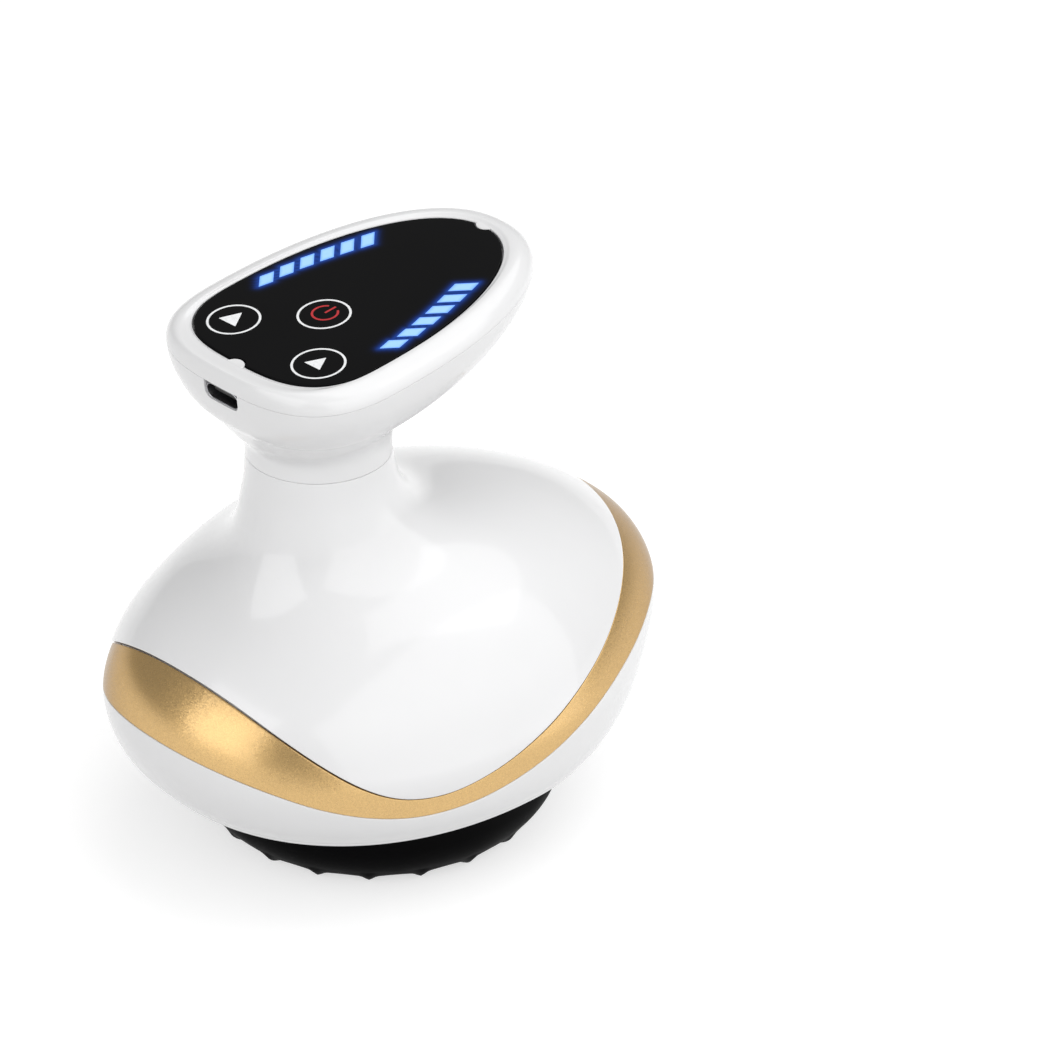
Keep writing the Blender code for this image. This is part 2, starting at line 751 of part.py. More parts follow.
def build_lower_shell():
    """The white bottom tray: a lip behind the band, the outer wall, and a floor with a round opening."""
    rise = LIP_RISE / BELL_RISE
    rows = [
        skin_row([edge + rise for edge in TOP_EDGE], LIP_INSET),
        skin_row([(top + bottom) / 2 for top, bottom in zip(TOP_EDGE, BOTTOM_EDGE)], LIP_INSET),
        skin_row([edge - margin for edge, margin in zip(BELOW_BOTTOM, BOTTOM_MARGIN)], LIP_INSET),
    ]
    for row_share in LOWER_ROW_SHARES:
        rows.append(skin_row([between(edge, 0, row_share) for edge in BELOW_BOTTOM]))
    rows.append(level_ring(FLOOR_HOLE, BODY_BOTTOM, HEAD_Y))
    shell = thicken(loft("body_lower_shell", rows), WALL)
    columns = [
        cylinder_mesh(CASE_POST_RADIUS, FLOOR_TOP - WALL / 2, CHASSIS_BOTTOM - GAP, x, y) for x, y in CHASSIS_SCREWS
    ]
    boolean(shell, hide(joined("chassis_columns", columns)), "UNION")
    holes = [cylinder_mesh(SCREW_HOLE, BODY_BOTTOM - WALL, FLOOR_TOP + WALL, x, y, SMALL_STEPS) for x, y in CASE_SCREWS]
    holes += [
        cylinder_mesh(SCREW_HOLE, FLOOR_TOP, CHASSIS_BOTTOM + GAP, x, y, SMALL_STEPS) for x, y in CHASSIS_SCREWS
    ]
    boolean(shell, hide(joined("lower_shell_holes", holes)), "DIFFERENCE")
    return place(shell, WHITE_ABS)


def head_profile():
    """Half section of the scraping head: shoulder, rounded skirt, rim, cup wall, roof, spigot and seal groove."""
    centre_r, centre_z = HEAD_RADIUS - HEAD_FILLET, TIP_HEIGHT + HEAD_FILLET
    skirt = [
        (centre_r + HEAD_FILLET * math.cos(a), centre_z - HEAD_FILLET * math.sin(a))
        for a in [math.radians(90.0) * k / 6 for k in range(7)]
    ]
    spigot = FLOOR_HOLE - GAP
    groove_in = SEAL_RADIUS - SEAL_WIDTH / 2 - GAP
    groove_out = SEAL_RADIUS + SEAL_WIDTH / 2 + GAP
    groove_floor = HEAD_TOP - SEAL_HEIGHT - GAP
    bore = NOZZLE_RADIUS + GAP
    return (
        [(bore, HEAD_TOP), (CLAMP_INNER, HEAD_TOP), (CLAMP_INNER, FLOOR_TOP), (spigot, FLOOR_TOP), (spigot, HEAD_TOP)]
        + [(groove_in, HEAD_TOP), (groove_in, groove_floor), (groove_out, groove_floor), (groove_out, HEAD_TOP)]
        + [(HEAD_RADIUS - GAP, HEAD_TOP), (HEAD_RADIUS, HEAD_TOP - GAP)]
        + skirt
        + [(CUP_MOUTH, TIP_HEIGHT), (CUP_MOUTH - WALL / 2, TIP_HEIGHT + WALL / 2)]
        + [(CUP_ROOF, CUP_ROOF_HEIGHT), (bore, CUP_ROOF_HEIGHT)]
    )


def tip_mesh(angle):
    """A long low bump on the rounded skirt, pointing to the head's axis."""
    solid = bmesh.new()
    bmesh.ops.create_uvsphere(solid, u_segments=8, v_segments=4, radius=1.0)
    reach = HEAD_FILLET - TIP_SUNK
    place_on_skirt = Vector((HEAD_RADIUS - HEAD_FILLET + reach * math.cos(TIP_SLOPE), 0.0, 0.0))
    place_on_skirt.z = TIP_HEIGHT + HEAD_FILLET - reach * math.sin(TIP_SLOPE)
    turn = Matrix.Rotation(angle, 4, "Z") @ Matrix.Translation(place_on_skirt)
    turn = turn @ Matrix.Rotation(TIP_SLOPE - math.radians(90.0), 4, "Y")
    solid.transform(turn @ Matrix.Diagonal((TIP_HALF_LENGTH, TIP_HALF_WIDTH, TIP_HALF_HEIGHT, 1.0)))
    mesh = bpy.data.meshes.new("tip")
    solid.to_mesh(mesh)
    solid.free()
    return mesh


def build_scraping_head():
    """The black round head with its ring of massage tips and the suction cup inside it."""
    head = turned("scraping_head", head_profile())
    tips = [tip_mesh(TIP_PHASE + math.tau * k / TIP_COUNT) for k in range(TIP_COUNT)]
    boolean(head, hide(joined("massage_tips", tips), head), "UNION")
    table = [box_mesh((-BODY_WIDTH, -BODY_WIDTH, -OVERRUN), (BODY_WIDTH, BODY_WIDTH, 0.0))]
    boolean(head, hide(joined("table_cut", table), head), "DIFFERENCE")
    pockets = [
        cylinder_mesh(SCREW_HEAD + GAP, HEAD_TOP - SCREW_HEAD_HEIGHT - 2 * GAP, BODY_BOTTOM, x, y - HEAD_Y, SMALL_STEPS)
        for x, y in CASE_SCREWS
    ]
    pockets += [
        cylinder_mesh(SCREW_HOLE, FLOOR_TOP - SCREW_LENGTH + CLAMP_THICKNESS, FLOOR_TOP + WALL, x, y - HEAD_Y, SMALL_STEPS)
        for x, y in HEAD_SCREWS
    ]
    boolean(head, hide(joined("head_pockets", pockets), head), "DIFFERENCE")
    head.location = (0.0, HEAD_Y, 0.0)
    return place(head, BLACK_ABS)


def ring(name, inner, outer, low, high, finish, y=HEAD_Y, steps=TURN_STEPS):
    """A flat ring about the head's axis, or about another upright axis on the centre plane."""
    part = turned(name, [(inner, high), (outer, high), (outer, low), (inner, low)], steps)
    part.location = (0.0, y, 0.0)
    return place(part, finish)


def build_cup_fittings():
    """Seal, clamp ring, heater plate, light ring, suction nozzle and its filter."""
    ring(
        "head_seal",
        SEAL_RADIUS - SEAL_WIDTH / 2,
        SEAL_RADIUS + SEAL_WIDTH / 2,
        HEAD_TOP - SEAL_HEIGHT,
        HEAD_TOP,
        GREY_RUBBER,
    )
    clamp = turned(
        "head_clamp_ring",
        [
            (CLAMP_INNER, CLAMP_BOTTOM + CLAMP_THICKNESS),
            (CLAMP_OUTER, CLAMP_BOTTOM + CLAMP_THICKNESS),
            (CLAMP_OUTER, CLAMP_BOTTOM),
            (CLAMP_INNER, CLAMP_BOTTOM),
        ],
        RING_STEPS,
    )
    holes = [
        cylinder_mesh(SCREW_HOLE, FLOOR_TOP, FLOOR_TOP + 2 * CLAMP_THICKNESS, x, y - HEAD_Y, SMALL_STEPS)
        for x, y in HEAD_SCREWS
    ]
    boolean(clamp, hide(joined("clamp_holes", holes), clamp), "DIFFERENCE")
    clamp.location = (0.0, HEAD_Y, 0.0)
    place(clamp, SCREW_STEEL)
    bore = NOZZLE_RADIUS + GAP
    heater_top = CUP_ROOF_HEIGHT - GAP
    heater_bottom = heater_top - HEATER_THICKNESS
    ring("heater_plate", bore, HEATER_RADIUS, heater_bottom, heater_top, ALUMINIUM, steps=RING_STEPS)
    light_in = HEATER_RADIUS + GAP
    ring("light_ring", light_in, light_in + LIGHT_RING_WIDTH, heater_bottom, heater_top, RED_LENS, steps=RING_STEPS)
    flange_top = heater_bottom - GAP
    flange_bottom = flange_top - WALL / 2
    nozzle_top = HEAD_TOP + NOZZLE_RISE
    nozzle = turned(
        "suction_nozzle",
        [
            (NOZZLE_BORE, nozzle_top),
            (NOZZLE_RADIUS, nozzle_top),
            (NOZZLE_RADIUS, flange_top),
            (NOZZLE_FLANGE, flange_top),
            (NOZZLE_FLANGE, flange_bottom),
            (NOZZLE_BORE, flange_bottom),
        ],
        12,
    )
    nozzle.location = (0.0, HEAD_Y, 0.0)
    place(nozzle, WHITE_ABS)
    filter_top = flange_bottom - GAP
    disc = turned("suction_filter", [(0, filter_top), (FILTER_RADIUS, filter_top), (FILTER_RADIUS, filter_top - FILTER_THICKNESS), (0, filter_top - FILTER_THICKNESS)], 16)
    disc.location = (0.0, HEAD_Y, 0.0)
    place(disc, FOAM)
    return nozzle_top


def screw(name, x, y, seat, length, up, parent=None):
    """A pan-head screw whose head bears on the seat; up is 1 where the shaft points up."""
    profile = [
        (0, SCREW_HEAD_HEIGHT),
        (SCREW_HEAD * 0.75, SCREW_HEAD_HEIGHT),
        (SCREW_HEAD, 0),
        (SCREW_SHAFT, 0),
        (SCREW_SHAFT, -length),
        (0, -length),
    ]
    part = turned(name, profile, SMALL_STEPS)
    part.location = (x, y, seat - GAP if up > 0 else seat + GAP)
    part.rotation_euler = (math.pi if up > 0 else 0.0, 0.0, 0.0)
    return place(part, SCREW_STEEL, parent)


def build_screws():
    for k, (x, y) in enumerate(CASE_SCREWS, 1):
        screw(f"case_screw_{k}", x, y, BODY_BOTTOM, SCREW_LENGTH, 1)
    for k, (x, y) in enumerate(CHASSIS_SCREWS, 1):
        screw(f"chassis_screw_{k}", x, y, CHASSIS_TOP, CHASSIS_HEIGHT - WALL, -1)
    for k, (x, y) in enumerate(HEAD_SCREWS, 1):
        screw(f"head_screw_{k}", x, y, CLAMP_BOTTOM + CLAMP_THICKNESS, SCREW_LENGTH - 2 * GAP, -1)
    for k, (x, y) in enumerate(NECK_SCREWS, 1):
        screw(f"neck_screw_{k}", x, y, SPIGOT_BOTTOM - GAP - WALL, 2 * WALL + GAP, 1)


def panel_frame():
    """An empty on the panel's top face, a little behind the neck's axis and tilted with the panel."""
    frame = bpy.data.objects.new("panel_frame", None)
    MASSAGER.objects.link(frame)
    frame.location = (0.0, PANEL_Y, PANEL_HEIGHT)
    frame.rotation_euler = (PANEL_TILT, 0.0, 0.0)
    return frame


PANEL = panel_frame()
PANEL_MATRIX = Matrix.Translation((0.0, PANEL_Y, PANEL_HEIGHT)) @ Matrix.Rotation(PANEL_TILT, 4, "X")


def panel_outline(offset=0.0, count=COLUMNS):
    """The touch panel's egg-shaped outline, grown by an offset."""
    return [
        oval_point(
            math.tau * k / count,
            PANEL_WIDTH / 2 + offset,
            PANEL_FRONT + offset,
            PANEL_BACK + offset,
            PANEL_FRONT_POWER,
            PANEL_BACK_POWER,
        )
        for k in range(count)
    ]


def handle_outline(margin=0.0, back_margin=None):
    """The handle's widest outline, drawn in by a margin."""
    back_margin = margin if back_margin is None else back_margin
    return [
        oval_point(
            angle,
            HANDLE_WIDTH / 2 - margin,
            HANDLE_FRONT - margin,
            HANDLE_BACK - back_margin,
            HANDLE_FRONT_POWER,
            HANDLE_BACK_POWER,
        )
        for angle in ANGLES
    ]


def at_depth(outline, depth):
    return [PANEL_MATRIX @ Vector((x, y, -depth)) for x, y in outline]


def parting_height(y):
    """Height of the handle's parting plane at a distance ahead of the panel's measure point."""
    return PANEL_HEIGHT + y * math.tan(PANEL_TILT) - PARTING_DEPTH / math.cos(PANEL_TILT)


def handle_row(shares):
    """One ring of the handle's shell, on a plane through its front and back points."""
    front_reach, front_height, back_reach, back_height, side = shares
    front = between(NECK_RADIUS, HANDLE_FRONT, front_reach)
    back = between(NECK_RADIUS, HANDLE_BACK, back_reach)
    half_width = between(NECK_RADIUS, HANDLE_WIDTH / 2, side)
    front_z = between(NECK_JOINT, parting_height(front), front_height)
    back_z = between(NECK_JOINT, parting_height(-back), back_height)
    row = []
    for angle in ANGLES:
        x, y = oval_point(
            angle,
            half_width,
            front,
            back,
            between(2, HANDLE_FRONT_POWER, side),
            between(2, HANDLE_BACK_POWER, side),
        )
        z = between(back_z, front_z, (y + back) / (front + back))
        row.append(Vector((x, between(NECK_Y, PANEL_Y, side) + y, z)))
    return row


def socket_cutter():
    """The notch below the parting line that the charging socket shows through."""
    half_width = SOCKET_WIDTH / 2 + GAP
    low = -SOCKET_DEPTH - SOCKET_HEIGHT / 2 - GAP
    corner = SOCKET_HEIGHT / 2
    outline = [(half_width, -PARTING_DEPTH), (-half_width, -PARTING_DEPTH)]
    for k in range(5):
        angle = math.radians(180.0 + 90.0 * k / 4)
        outline.append((corner * math.cos(angle) - half_width + corner, low + corner + corner * math.sin(angle)))
    for k in range(5):
        angle = math.radians(270.0 + 90.0 * k / 4)
        outline.append((corner * math.cos(angle) + half_width - corner, low + corner + corner * math.sin(angle)))
    cutter = plate("socket_notch", outline, HANDLE_BACK - SOCKET_LENGTH, HANDLE_BACK + OVERRUN)
    cutter.rotation_euler = (math.radians(90.0), 0.0, 0.0)
    return hide(cutter, PANEL)


def build_handle_shell(notch):
    """The white shell under the parting line, running down into the neck and its spigot."""
    rows = [handle_row(shares) for shares in HANDLE_SHARES]
    square_down = PANEL_MATRIX.to_3x3() @ Vector((0.0, 0.0, -GAP / 2))
    rim = [point + square_down for point in rows[0]]
    rows[0:1] = [rim, [point + 2 * square_down for point in rim]]
    rows[-1] = [point + Vector((0.0, 0.0, GAP / 2)) for point in rows[-1]]
    rows.append(level_ring(SPIGOT_RADIUS, NECK_JOINT + GAP / 2, NECK_Y))
    rows.append(level_ring(SPIGOT_RADIUS, SPIGOT_BOTTOM, NECK_Y))
    rows.append(level_ring(WIRE_HOLE, SPIGOT_BOTTOM, NECK_Y))
    shell = thicken(loft("handle_shell", rows), WALL)
    boolean(shell, notch, "DIFFERENCE")
    holes = [
        cylinder_mesh(SCREW_HOLE, SPIGOT_BOTTOM - WALL, SPIGOT_BOTTOM + 2 * WALL, x, y, SMALL_STEPS) for x, y in NECK_SCREWS
    ]
    boolean(shell, hide(joined("spigot_holes", holes)), "DIFFERENCE")
    return place(shell, WHITE_ABS)


def tab_meshes(radius, low, high):
    """The two round tabs on the panel's centre line that key the lens."""
    return [
        cylinder_mesh(radius, low, high, 0.0, y, 16)
        for y in (-PANEL_BACK - TAB_RADIUS + TAB_REACH, PANEL_FRONT + TAB_RADIUS - TAB_REACH)
    ]


def build_bezel(notch, posts):
    """The white frame round the lens: ledge, recess wall, crowned rim, outer wall and inner skirt."""
    rim_back = RIM_MARGIN * RIM_BACK_SHARE
    rows = [
        at_depth(panel_outline(-LEDGE_WIDTH), LEDGE_DEPTH),
        at_depth(panel_outline(GAP), LEDGE_DEPTH),
        at_depth(panel_outline(GAP), 0),
        at_depth(handle_outline(RIM_MARGIN, rim_back), -RIM_HEIGHT),
        at_depth(handle_outline(RIM_MARGIN * (1 - RIM_ROUND_SHARE), rim_back / 2), PARTING_DEPTH / 4),
        at_depth(handle_outline(), PARTING_DEPTH - GAP / 2),
        at_depth(handle_outline(LIP_INSET), PARTING_DEPTH - GAP / 2),
        at_depth(handle_outline(LIP_INSET + SKIRT_SLOPE), PARTING_DEPTH + SKIRT_DEPTH),
    ]
    bezel = thicken(loft("handle_bezel", rows), BEZEL_WALL)
    solids = tab_meshes(TAB_RADIUS, -LEDGE_DEPTH - BEZEL_WALL / 2, 0.0)
    low = -BOARD_DEPTH + GAP
    solids += [cylinder_mesh(POST_RADIUS, low, -LEDGE_DEPTH - BEZEL_WALL / 2, x, y, 12) for x, y in posts]
    boolean(bezel, hide(joined("bezel_tabs_and_posts", solids), PANEL), "UNION")
    boolean(bezel, notch, "DIFFERENCE")
    holes = [cylinder_mesh(SCREW_HOLE, low - WALL, low + BOARD_SCREW_LENGTH, x, y, SMALL_STEPS) for x, y in posts]
    boolean(bezel, hide(joined("bezel_post_holes", holes), PANEL), "DIFFERENCE")
    return place(bezel, WHITE_ABS)


def build_lens():
    """The black touch lens with a round notch at each end."""
    lens = plate("touch_lens", panel_outline(count=48), -LENS_THICKNESS, 0.0)
    notches = tab_meshes(TAB_RADIUS + GAP, -LENS_THICKNESS - OVERRUN, OVERRUN)
    boolean(lens, hide(joined("lens_notches", notches), PANEL), "DIFFERENCE")
    return place(lens, BLACK_GLASS, PANEL)


def board_posts():
    """Where the circuit board is screwed up to the bezel: two posts on each side."""
    return [(side * x, y) for side in (-1, 1) for x, y in (BACK_POST, FRONT_POST)]


def build_board(posts):
    """The control board, cut off straight behind the nose, with its screws."""
    outline = [
        (x, min(y, BOARD_FRONT)) for x, y in panel_outline(-BOARD_MARGIN) if y > -BOARD_BACK
    ]
    board = plate("control_board", outline, -BOARD_DEPTH - BOARD_THICKNESS, -BOARD_DEPTH)
    holes = [
        cylinder_mesh(SCREW_HOLE, -BOARD_DEPTH - 2 * BOARD_THICKNESS, OVERRUN, x, y, SMALL_STEPS) for x, y in posts
    ]
    boolean(board, hide(joined("board_holes", holes), PANEL), "DIFFERENCE")
    place(board, CIRCUIT_GREEN, PANEL)
    for k, (x, y) in enumerate(posts, 1):
        screw(f"board_screw_{k}", x, y, -BOARD_DEPTH - BOARD_THICKNESS, BOARD_THICKNESS + BOARD_SCREW_LENGTH - 2 * GAP, 1, PANEL)


def lamp_places():
    """Centres of one side's lamp windows, along a shallow arc."""
    places = []
    for k in range(LAMP_COUNT):
        share = k / (LAMP_COUNT - 1)
        x = between(LAMP_FIRST[0], LAMP_LAST[0], share) + LAMP_BOW * 4 * share * (1 - share)
        places.append((x, between(LAMP_FIRST[1], LAMP_LAST[1], share)))
    return places


def build_lamp_bar(name, side):
    """A light guide on the board: one strip with six slanted windows under the lens."""
    centres = lamp_places()
    bottom, top = -BOARD_DEPTH + GAP, -LENS_THICKNESS - GAP
    strip = [(side * (x + LAMP_STRIP / 2), y) for x, y in centres]
    strip += [(side * (x - LAMP_STRIP / 2), y) for x, y in reversed(centres)]
    bar = plate(name, strip, bottom, between(bottom, top, 0.6))
    windows = []
    for k, (x, y) in enumerate(centres):
        before, after = centres[max(k - 1, 0)], centres[min(k + 1, LAMP_COUNT - 1)]
        run = Vector((after[0] - before[0], after[1] - before[1])).normalized() * LAMP_LENGTH / 2
        cross = Vector((-1.0, -LAMP_SLANT_SHARE)).normalized() * LAMP_REACH / 2
        centre = Vector((x, y))
        corners = [centre + run + cross, centre - run + cross, centre - run - cross, centre + run - cross]
        window = plate("lamp_window", [(side * c.x, c.y) for c in corners], between(bottom, top, 0.3), top)
        windows.append(window.data)
        bpy.data.objects.remove(window)
    boolean(bar, hide(joined(name + "_windows", windows), PANEL), "UNION")
    return place(bar, LAMP_DIFFUSER, PANEL)


def build_touch_spring(name, x, y):
    """The contact coil between the board and the lens under one touch key."""
    low, high = -BOARD_DEPTH + GAP + SPRING_WIRE, -LENS_THICKNESS - GAP - SPRING_WIRE
    path = coil_path(SPRING_RADIUS, low, high, SPRING_TURNS)
    spring = tube(name, path, SPRING_WIRE, 0)
    spring.location = (x, y, 0.0)
    return place(spring, SPRING_STEEL, PANEL)


def pill(width, height, count=5):
    """A slot outline with fully round ends."""
    radius = height / 2
    outline = []
    for centre, start in ((width / 2 - radius, -90.0), (radius - width / 2, 90.0)):
        for k in range(count):
            angle = math.radians(start + 180.0 * k / (count - 1))
            outline.append((centre + radius * math.cos(angle), radius * math.sin(angle)))
    return outline


def build_socket():
    """The charging socket: a drawn steel sleeve with a closed back, and the contact tongue in it."""
    front = -HANDLE_BACK + SOCKET_INSET
    back = front + SOCKET_LENGTH
    sleeve = plate("charging_socket", pill(SOCKET_WIDTH, SOCKET_HEIGHT), -back, -front)
    hollow = plate(
        "socket_hollow",
        pill(SOCKET_WIDTH - 2 * SOCKET_WALL, SOCKET_HEIGHT - 2 * SOCKET_WALL),
        -back + SOCKET_WALL,
        -front + OVERRUN,
    )
    boolean(sleeve, hide(hollow, sleeve), "DIFFERENCE")
    sleeve.location = (0.0, 0.0, -SOCKET_DEPTH)
    sleeve.rotation_euler = (math.radians(90.0), 0.0, 0.0)
    place(sleeve, SOCKET_STEEL, PANEL)
    inner_width = SOCKET_WIDTH - 2 * SOCKET_WALL - 2 * GAP
    inner_height = SOCKET_HEIGHT - 2 * SOCKET_WALL - 2 * GAP
    root_back = -back + SOCKET_WALL + GAP
    tongue = plate("socket_tongue", pill(inner_width, inner_height), root_back, root_back + TONGUE_ROOT)
    blade = joined(
        "tongue_blade",
        [
            box_mesh(
                (-TONGUE_WIDTH / 2, -TONGUE_THICKNESS / 2, root_back + TONGUE_ROOT / 2),
                (TONGUE_WIDTH / 2, TONGUE_THICKNESS / 2, -front - TONGUE_INSET),
            )
        ],
    )
    boolean(tongue, hide(blade, tongue), "UNION")
    tongue.location = (0.0, 0.0, -SOCKET_DEPTH)
    tongue.rotation_euler = (math.radians(90.0), 0.0, 0.0)
    place(tongue, BLACK_ABS, PANEL)


def build_chassis():
    """The plate that carries the battery and the pump in saddles, on four columns of the floor."""
    outline = []
    for x_side, y, start in ((1, CHASSIS_FRONT, 0.0), (-1, CHASSIS_FRONT, 90.0), (-1, -CHASSIS_BACK, 180.0), (1, -CHASSIS_BACK, 270.0)):
        centre_x = x_side * (CHASSIS_WIDTH / 2 - CHASSIS_CORNER)
        centre_y = y - math.copysign(CHASSIS_CORNER, y)
        for k in range(4):
            angle = math.radians(start + 30.0 * k)
            outline.append((centre_x + CHASSIS_CORNER * math.cos(angle), centre_y + CHASSIS_CORNER * math.sin(angle)))
    chassis = plate("inner_chassis", outline, CHASSIS_BOTTOM, CHASSIS_TOP)
    blocks = []
    edge = CHASSIS_WIDTH / 2 - OVERRUN / 8
    pump_middle = PUMP_REAR + MOTOR_LENGTH / 2
    for low, high, middle, spread in (
        (BATTERY_X - BATTERY_RADIUS, edge, BATTERY_Y, BATTERY_LENGTH / 4),
        (-edge, PUMP_X + PUMP_RADIUS * 0.75, pump_middle, MOTOR_LENGTH / 4),
    ):
        for y in (middle - spread, middle + spread):
            blocks.append(
                box_mesh(
                    (low, y - SADDLE_THICKNESS / 2, CHASSIS_TOP - CHASSIS_THICKNESS / 2),
                    (high, y + SADDLE_THICKNESS / 2, CHASSIS_TOP + SADDLE_HEIGHT),
                )
            )
    boolean(chassis, hide(joined("chassis_saddles", blocks)), "UNION")
    beds = []
    for name, x, z, radius, y, length in (
        ("battery_bed", BATTERY_X, BATTERY_HEIGHT, BATTERY_RADIUS, BATTERY_Y, BATTERY_LENGTH),
        ("pump_bed", PUMP_X, PUMP_HEIGHT, PUMP_RADIUS, pump_middle, MOTOR_LENGTH),
    ):
        bed = joined(name, [cylinder_mesh(radius + GAP, -length / 2, length / 2, steps=TURN_STEPS)])
        bed.location = (x, y, z)
        bed.rotation_euler = (math.radians(90.0), math.pi / TURN_STEPS, 0.0)
        beds.append(hide(bed))
    for bed in beds:
        boolean(chassis, bed, "DIFFERENCE")
    holes = [
        cylinder_mesh(SCREW_HOLE, CHASSIS_BOTTOM - WALL, CHASSIS_TOP + WALL, x, y, SMALL_STEPS) for x, y in CHASSIS_SCREWS
    ]
    holes.append(cylinder_mesh(NOZZLE_RADIUS + WALL, CHASSIS_BOTTOM - WALL, CHASSIS_TOP + WALL, 0.0, HEAD_Y))
    boolean(chassis, hide(joined("chassis_holes", holes)), "DIFFERENCE")
    return place(chassis, GREY_ABS)


def lie_along_y(part, x, y, z):
    """Lay a turned piece down so that its own Z points along +Y."""
    part.location = (x, y, z)
    part.rotation_euler = (math.radians(-90.0), 0.0, 0.0)
    return part


def build_battery():
    top = BATTERY_LENGTH / 2 - BATTERY_CAP_HEIGHT
    cell = turned(
        "battery_cell",
        [
            (0, top + BATTERY_CAP_HEIGHT),
            (BATTERY_CAP, top + BATTERY_CAP_HEIGHT),
            (BATTERY_CAP, top),
            (BATTERY_RADIUS - BATTERY_CAP_HEIGHT, top),
            (BATTERY_RADIUS, top - BATTERY_CAP_HEIGHT),
            (BATTERY_RADIUS, -BATTERY_LENGTH / 2),
            (0, -BATTERY_LENGTH / 2),
        ],
        RING_STEPS,
    )
    lie_along_y(cell, BATTERY_X, BATTERY_Y, BATTERY_HEIGHT)
    return place(cell, BATTERY_WRAP)


def build_pump():
    """The diaphragm pump: motor can, rotor with its eccentric, membrane and pump head."""
    bearing = SHAFT_RADIUS + GAP
    inside = PUMP_RADIUS - MOTOR_WALL
    can = turned(
        "pump_motor_can",
        [
            (0, MOTOR_WALL),
            (inside, MOTOR_WALL),
            (inside, MOTOR_LENGTH - MOTOR_WALL),
            (bearing, MOTOR_LENGTH - MOTOR_WALL),
            (bearing, MOTOR_LENGTH),
            (PUMP_RADIUS, MOTOR_LENGTH),
            (PUMP_RADIUS, 0),
            (0, 0),
        ],
        RING_STEPS,
    )
    place(lie_along_y(can, PUMP_X, PUMP_REAR, PUMP_HEIGHT), SOCKET_STEEL)

    hub_low = MOTOR_LENGTH + GAP + MOTOR_WALL
    hub_high = hub_low + ECCENTRIC_LENGTH
    core_low = (MOTOR_LENGTH - ROTOR_LENGTH) / 2
    core_high = core_low + ROTOR_LENGTH
    rotor = turned(
        "pump_rotor",
        [
            (0, hub_high - MOTOR_WALL / 2),
            (SHAFT_RADIUS, hub_high - MOTOR_WALL / 2),
            (SHAFT_RADIUS, core_high),
            (ROTOR_RADIUS, core_high),
            (ROTOR_RADIUS, core_low),
            (SHAFT_RADIUS, core_low),
            (SHAFT_RADIUS, MOTOR_WALL + GAP),
            (0, MOTOR_WALL + GAP),
        ],
        16,
    )
    hub = joined("eccentric_hub", [cylinder_mesh(ECCENTRIC_RADIUS, hub_low, hub_high, ECCENTRIC_OFFSET, 0.0, 16)])
    boolean(rotor, hide(hub, rotor), "UNION")
    place(lie_along_y(rotor, PUMP_X, PUMP_REAR, PUMP_HEIGHT), COPPER)

    head = turned(
        "pump_head",
        [
            (PORT_BORE, PUMP_HEAD_LENGTH + PORT_LENGTH),
            (PORT_RADIUS, PUMP_HEAD_LENGTH + PORT_LENGTH),
            (PORT_RADIUS, PUMP_HEAD_LENGTH),
            (PUMP_RADIUS, PUMP_HEAD_LENGTH),
            (PUMP_RADIUS, 0),
            (PUMP_CAVITY_RADIUS, 0),
            (PUMP_CAVITY_RADIUS, PUMP_CAVITY_DEPTH),
            (PORT_BORE, PUMP_CAVITY_DEPTH),
        ],
        RING_STEPS,
    )
    outlet = joined(
        "pump_outlet",
        [cylinder_mesh(PORT_RADIUS, PUMP_CAVITY_DEPTH + WALL, PUMP_HEAD_LENGTH + PORT_LENGTH / 2, 0.0, -OUTLET_RISE, 12)],
    )
    boolean(head, hide(outlet, head), "UNION")
    place(lie_along_y(head, PUMP_X, PUMP_REAR + MOTOR_LENGTH + GAP, PUMP_HEIGHT), GREY_ABS)

    boss_low = hub_high + GAP
    disc_low = boss_low + MEMBRANE_THICKNESS
    disc_high = disc_low + MEMBRANE_THICKNESS
    rim = PUMP_CAVITY_RADIUS - GAP
    membrane = turned(
        "pump_membrane",
        [(0, disc_high), (rim, disc_high), (rim, disc_low), (MEMBRANE_BOSS, disc_low), (MEMBRANE_BOSS, boss_low), (0, boss_low)],
        16,
    )
    place(lie_along_y(membrane, PUMP_X, PUMP_REAR, PUMP_HEIGHT), GREY_RUBBER)


def build_valve():
    """The solenoid release valve on the floor: block, sprung plunger and the tee on its port."""
    width, depth, height = VALVE_SIZE
    block = joined(
        "release_valve",
        [box_mesh((-width / 2, VALVE_Y - depth / 2, VALVE_FLOOR), (width / 2, VALVE_Y + depth / 2, VALVE_TOP))],
    )
    port_top = TEE_HEIGHT - TEE_RADIUS - GAP
    port = joined("valve_port", [cylinder_mesh(PORT_RADIUS, VALVE_TOP - WALL, port_top, VALVE_PORT_X, VALVE_Y, 12)])
    boolean(block, hide(port), "UNION")
    bore_floor = VALVE_FLOOR + VALVE_BASE
    bore = joined(
        "valve_bore", [cylinder_mesh(VALVE_BORE_RADIUS, bore_floor, VALVE_TOP + OVERRUN, VALVE_BORE_X, VALVE_Y)]
    )
    boolean(block, hide(bore), "DIFFERENCE")
    place(block, GREY_ABS)

    spring_low = bore_floor + GAP
    spring_high = spring_low + VALVE_SPRING_LENGTH
    radius = VALVE_BORE_RADIUS - GAP
    path = coil_path(radius - SPRING_WIRE, spring_low + SPRING_WIRE, spring_high - SPRING_WIRE, 3)
    spring = tube("valve_spring", path, SPRING_WIRE, 0)
    spring.location = (VALVE_BORE_X, VALVE_Y, 0.0)
    place(spring, SPRING_STEEL)

    top, bottom = VALVE_TOP + PLUNGER_OUT, spring_high + GAP
    plunger = turned(
        "valve_plunger",
        [(0, top), (radius * 0.8, top), (radius, top - GAP), (radius, bottom), (0, bottom)],
        16,
    )
    plunger.location = (VALVE_BORE_X, VALVE_Y, 0.0)
    place(plunger, SCREW_STEEL)


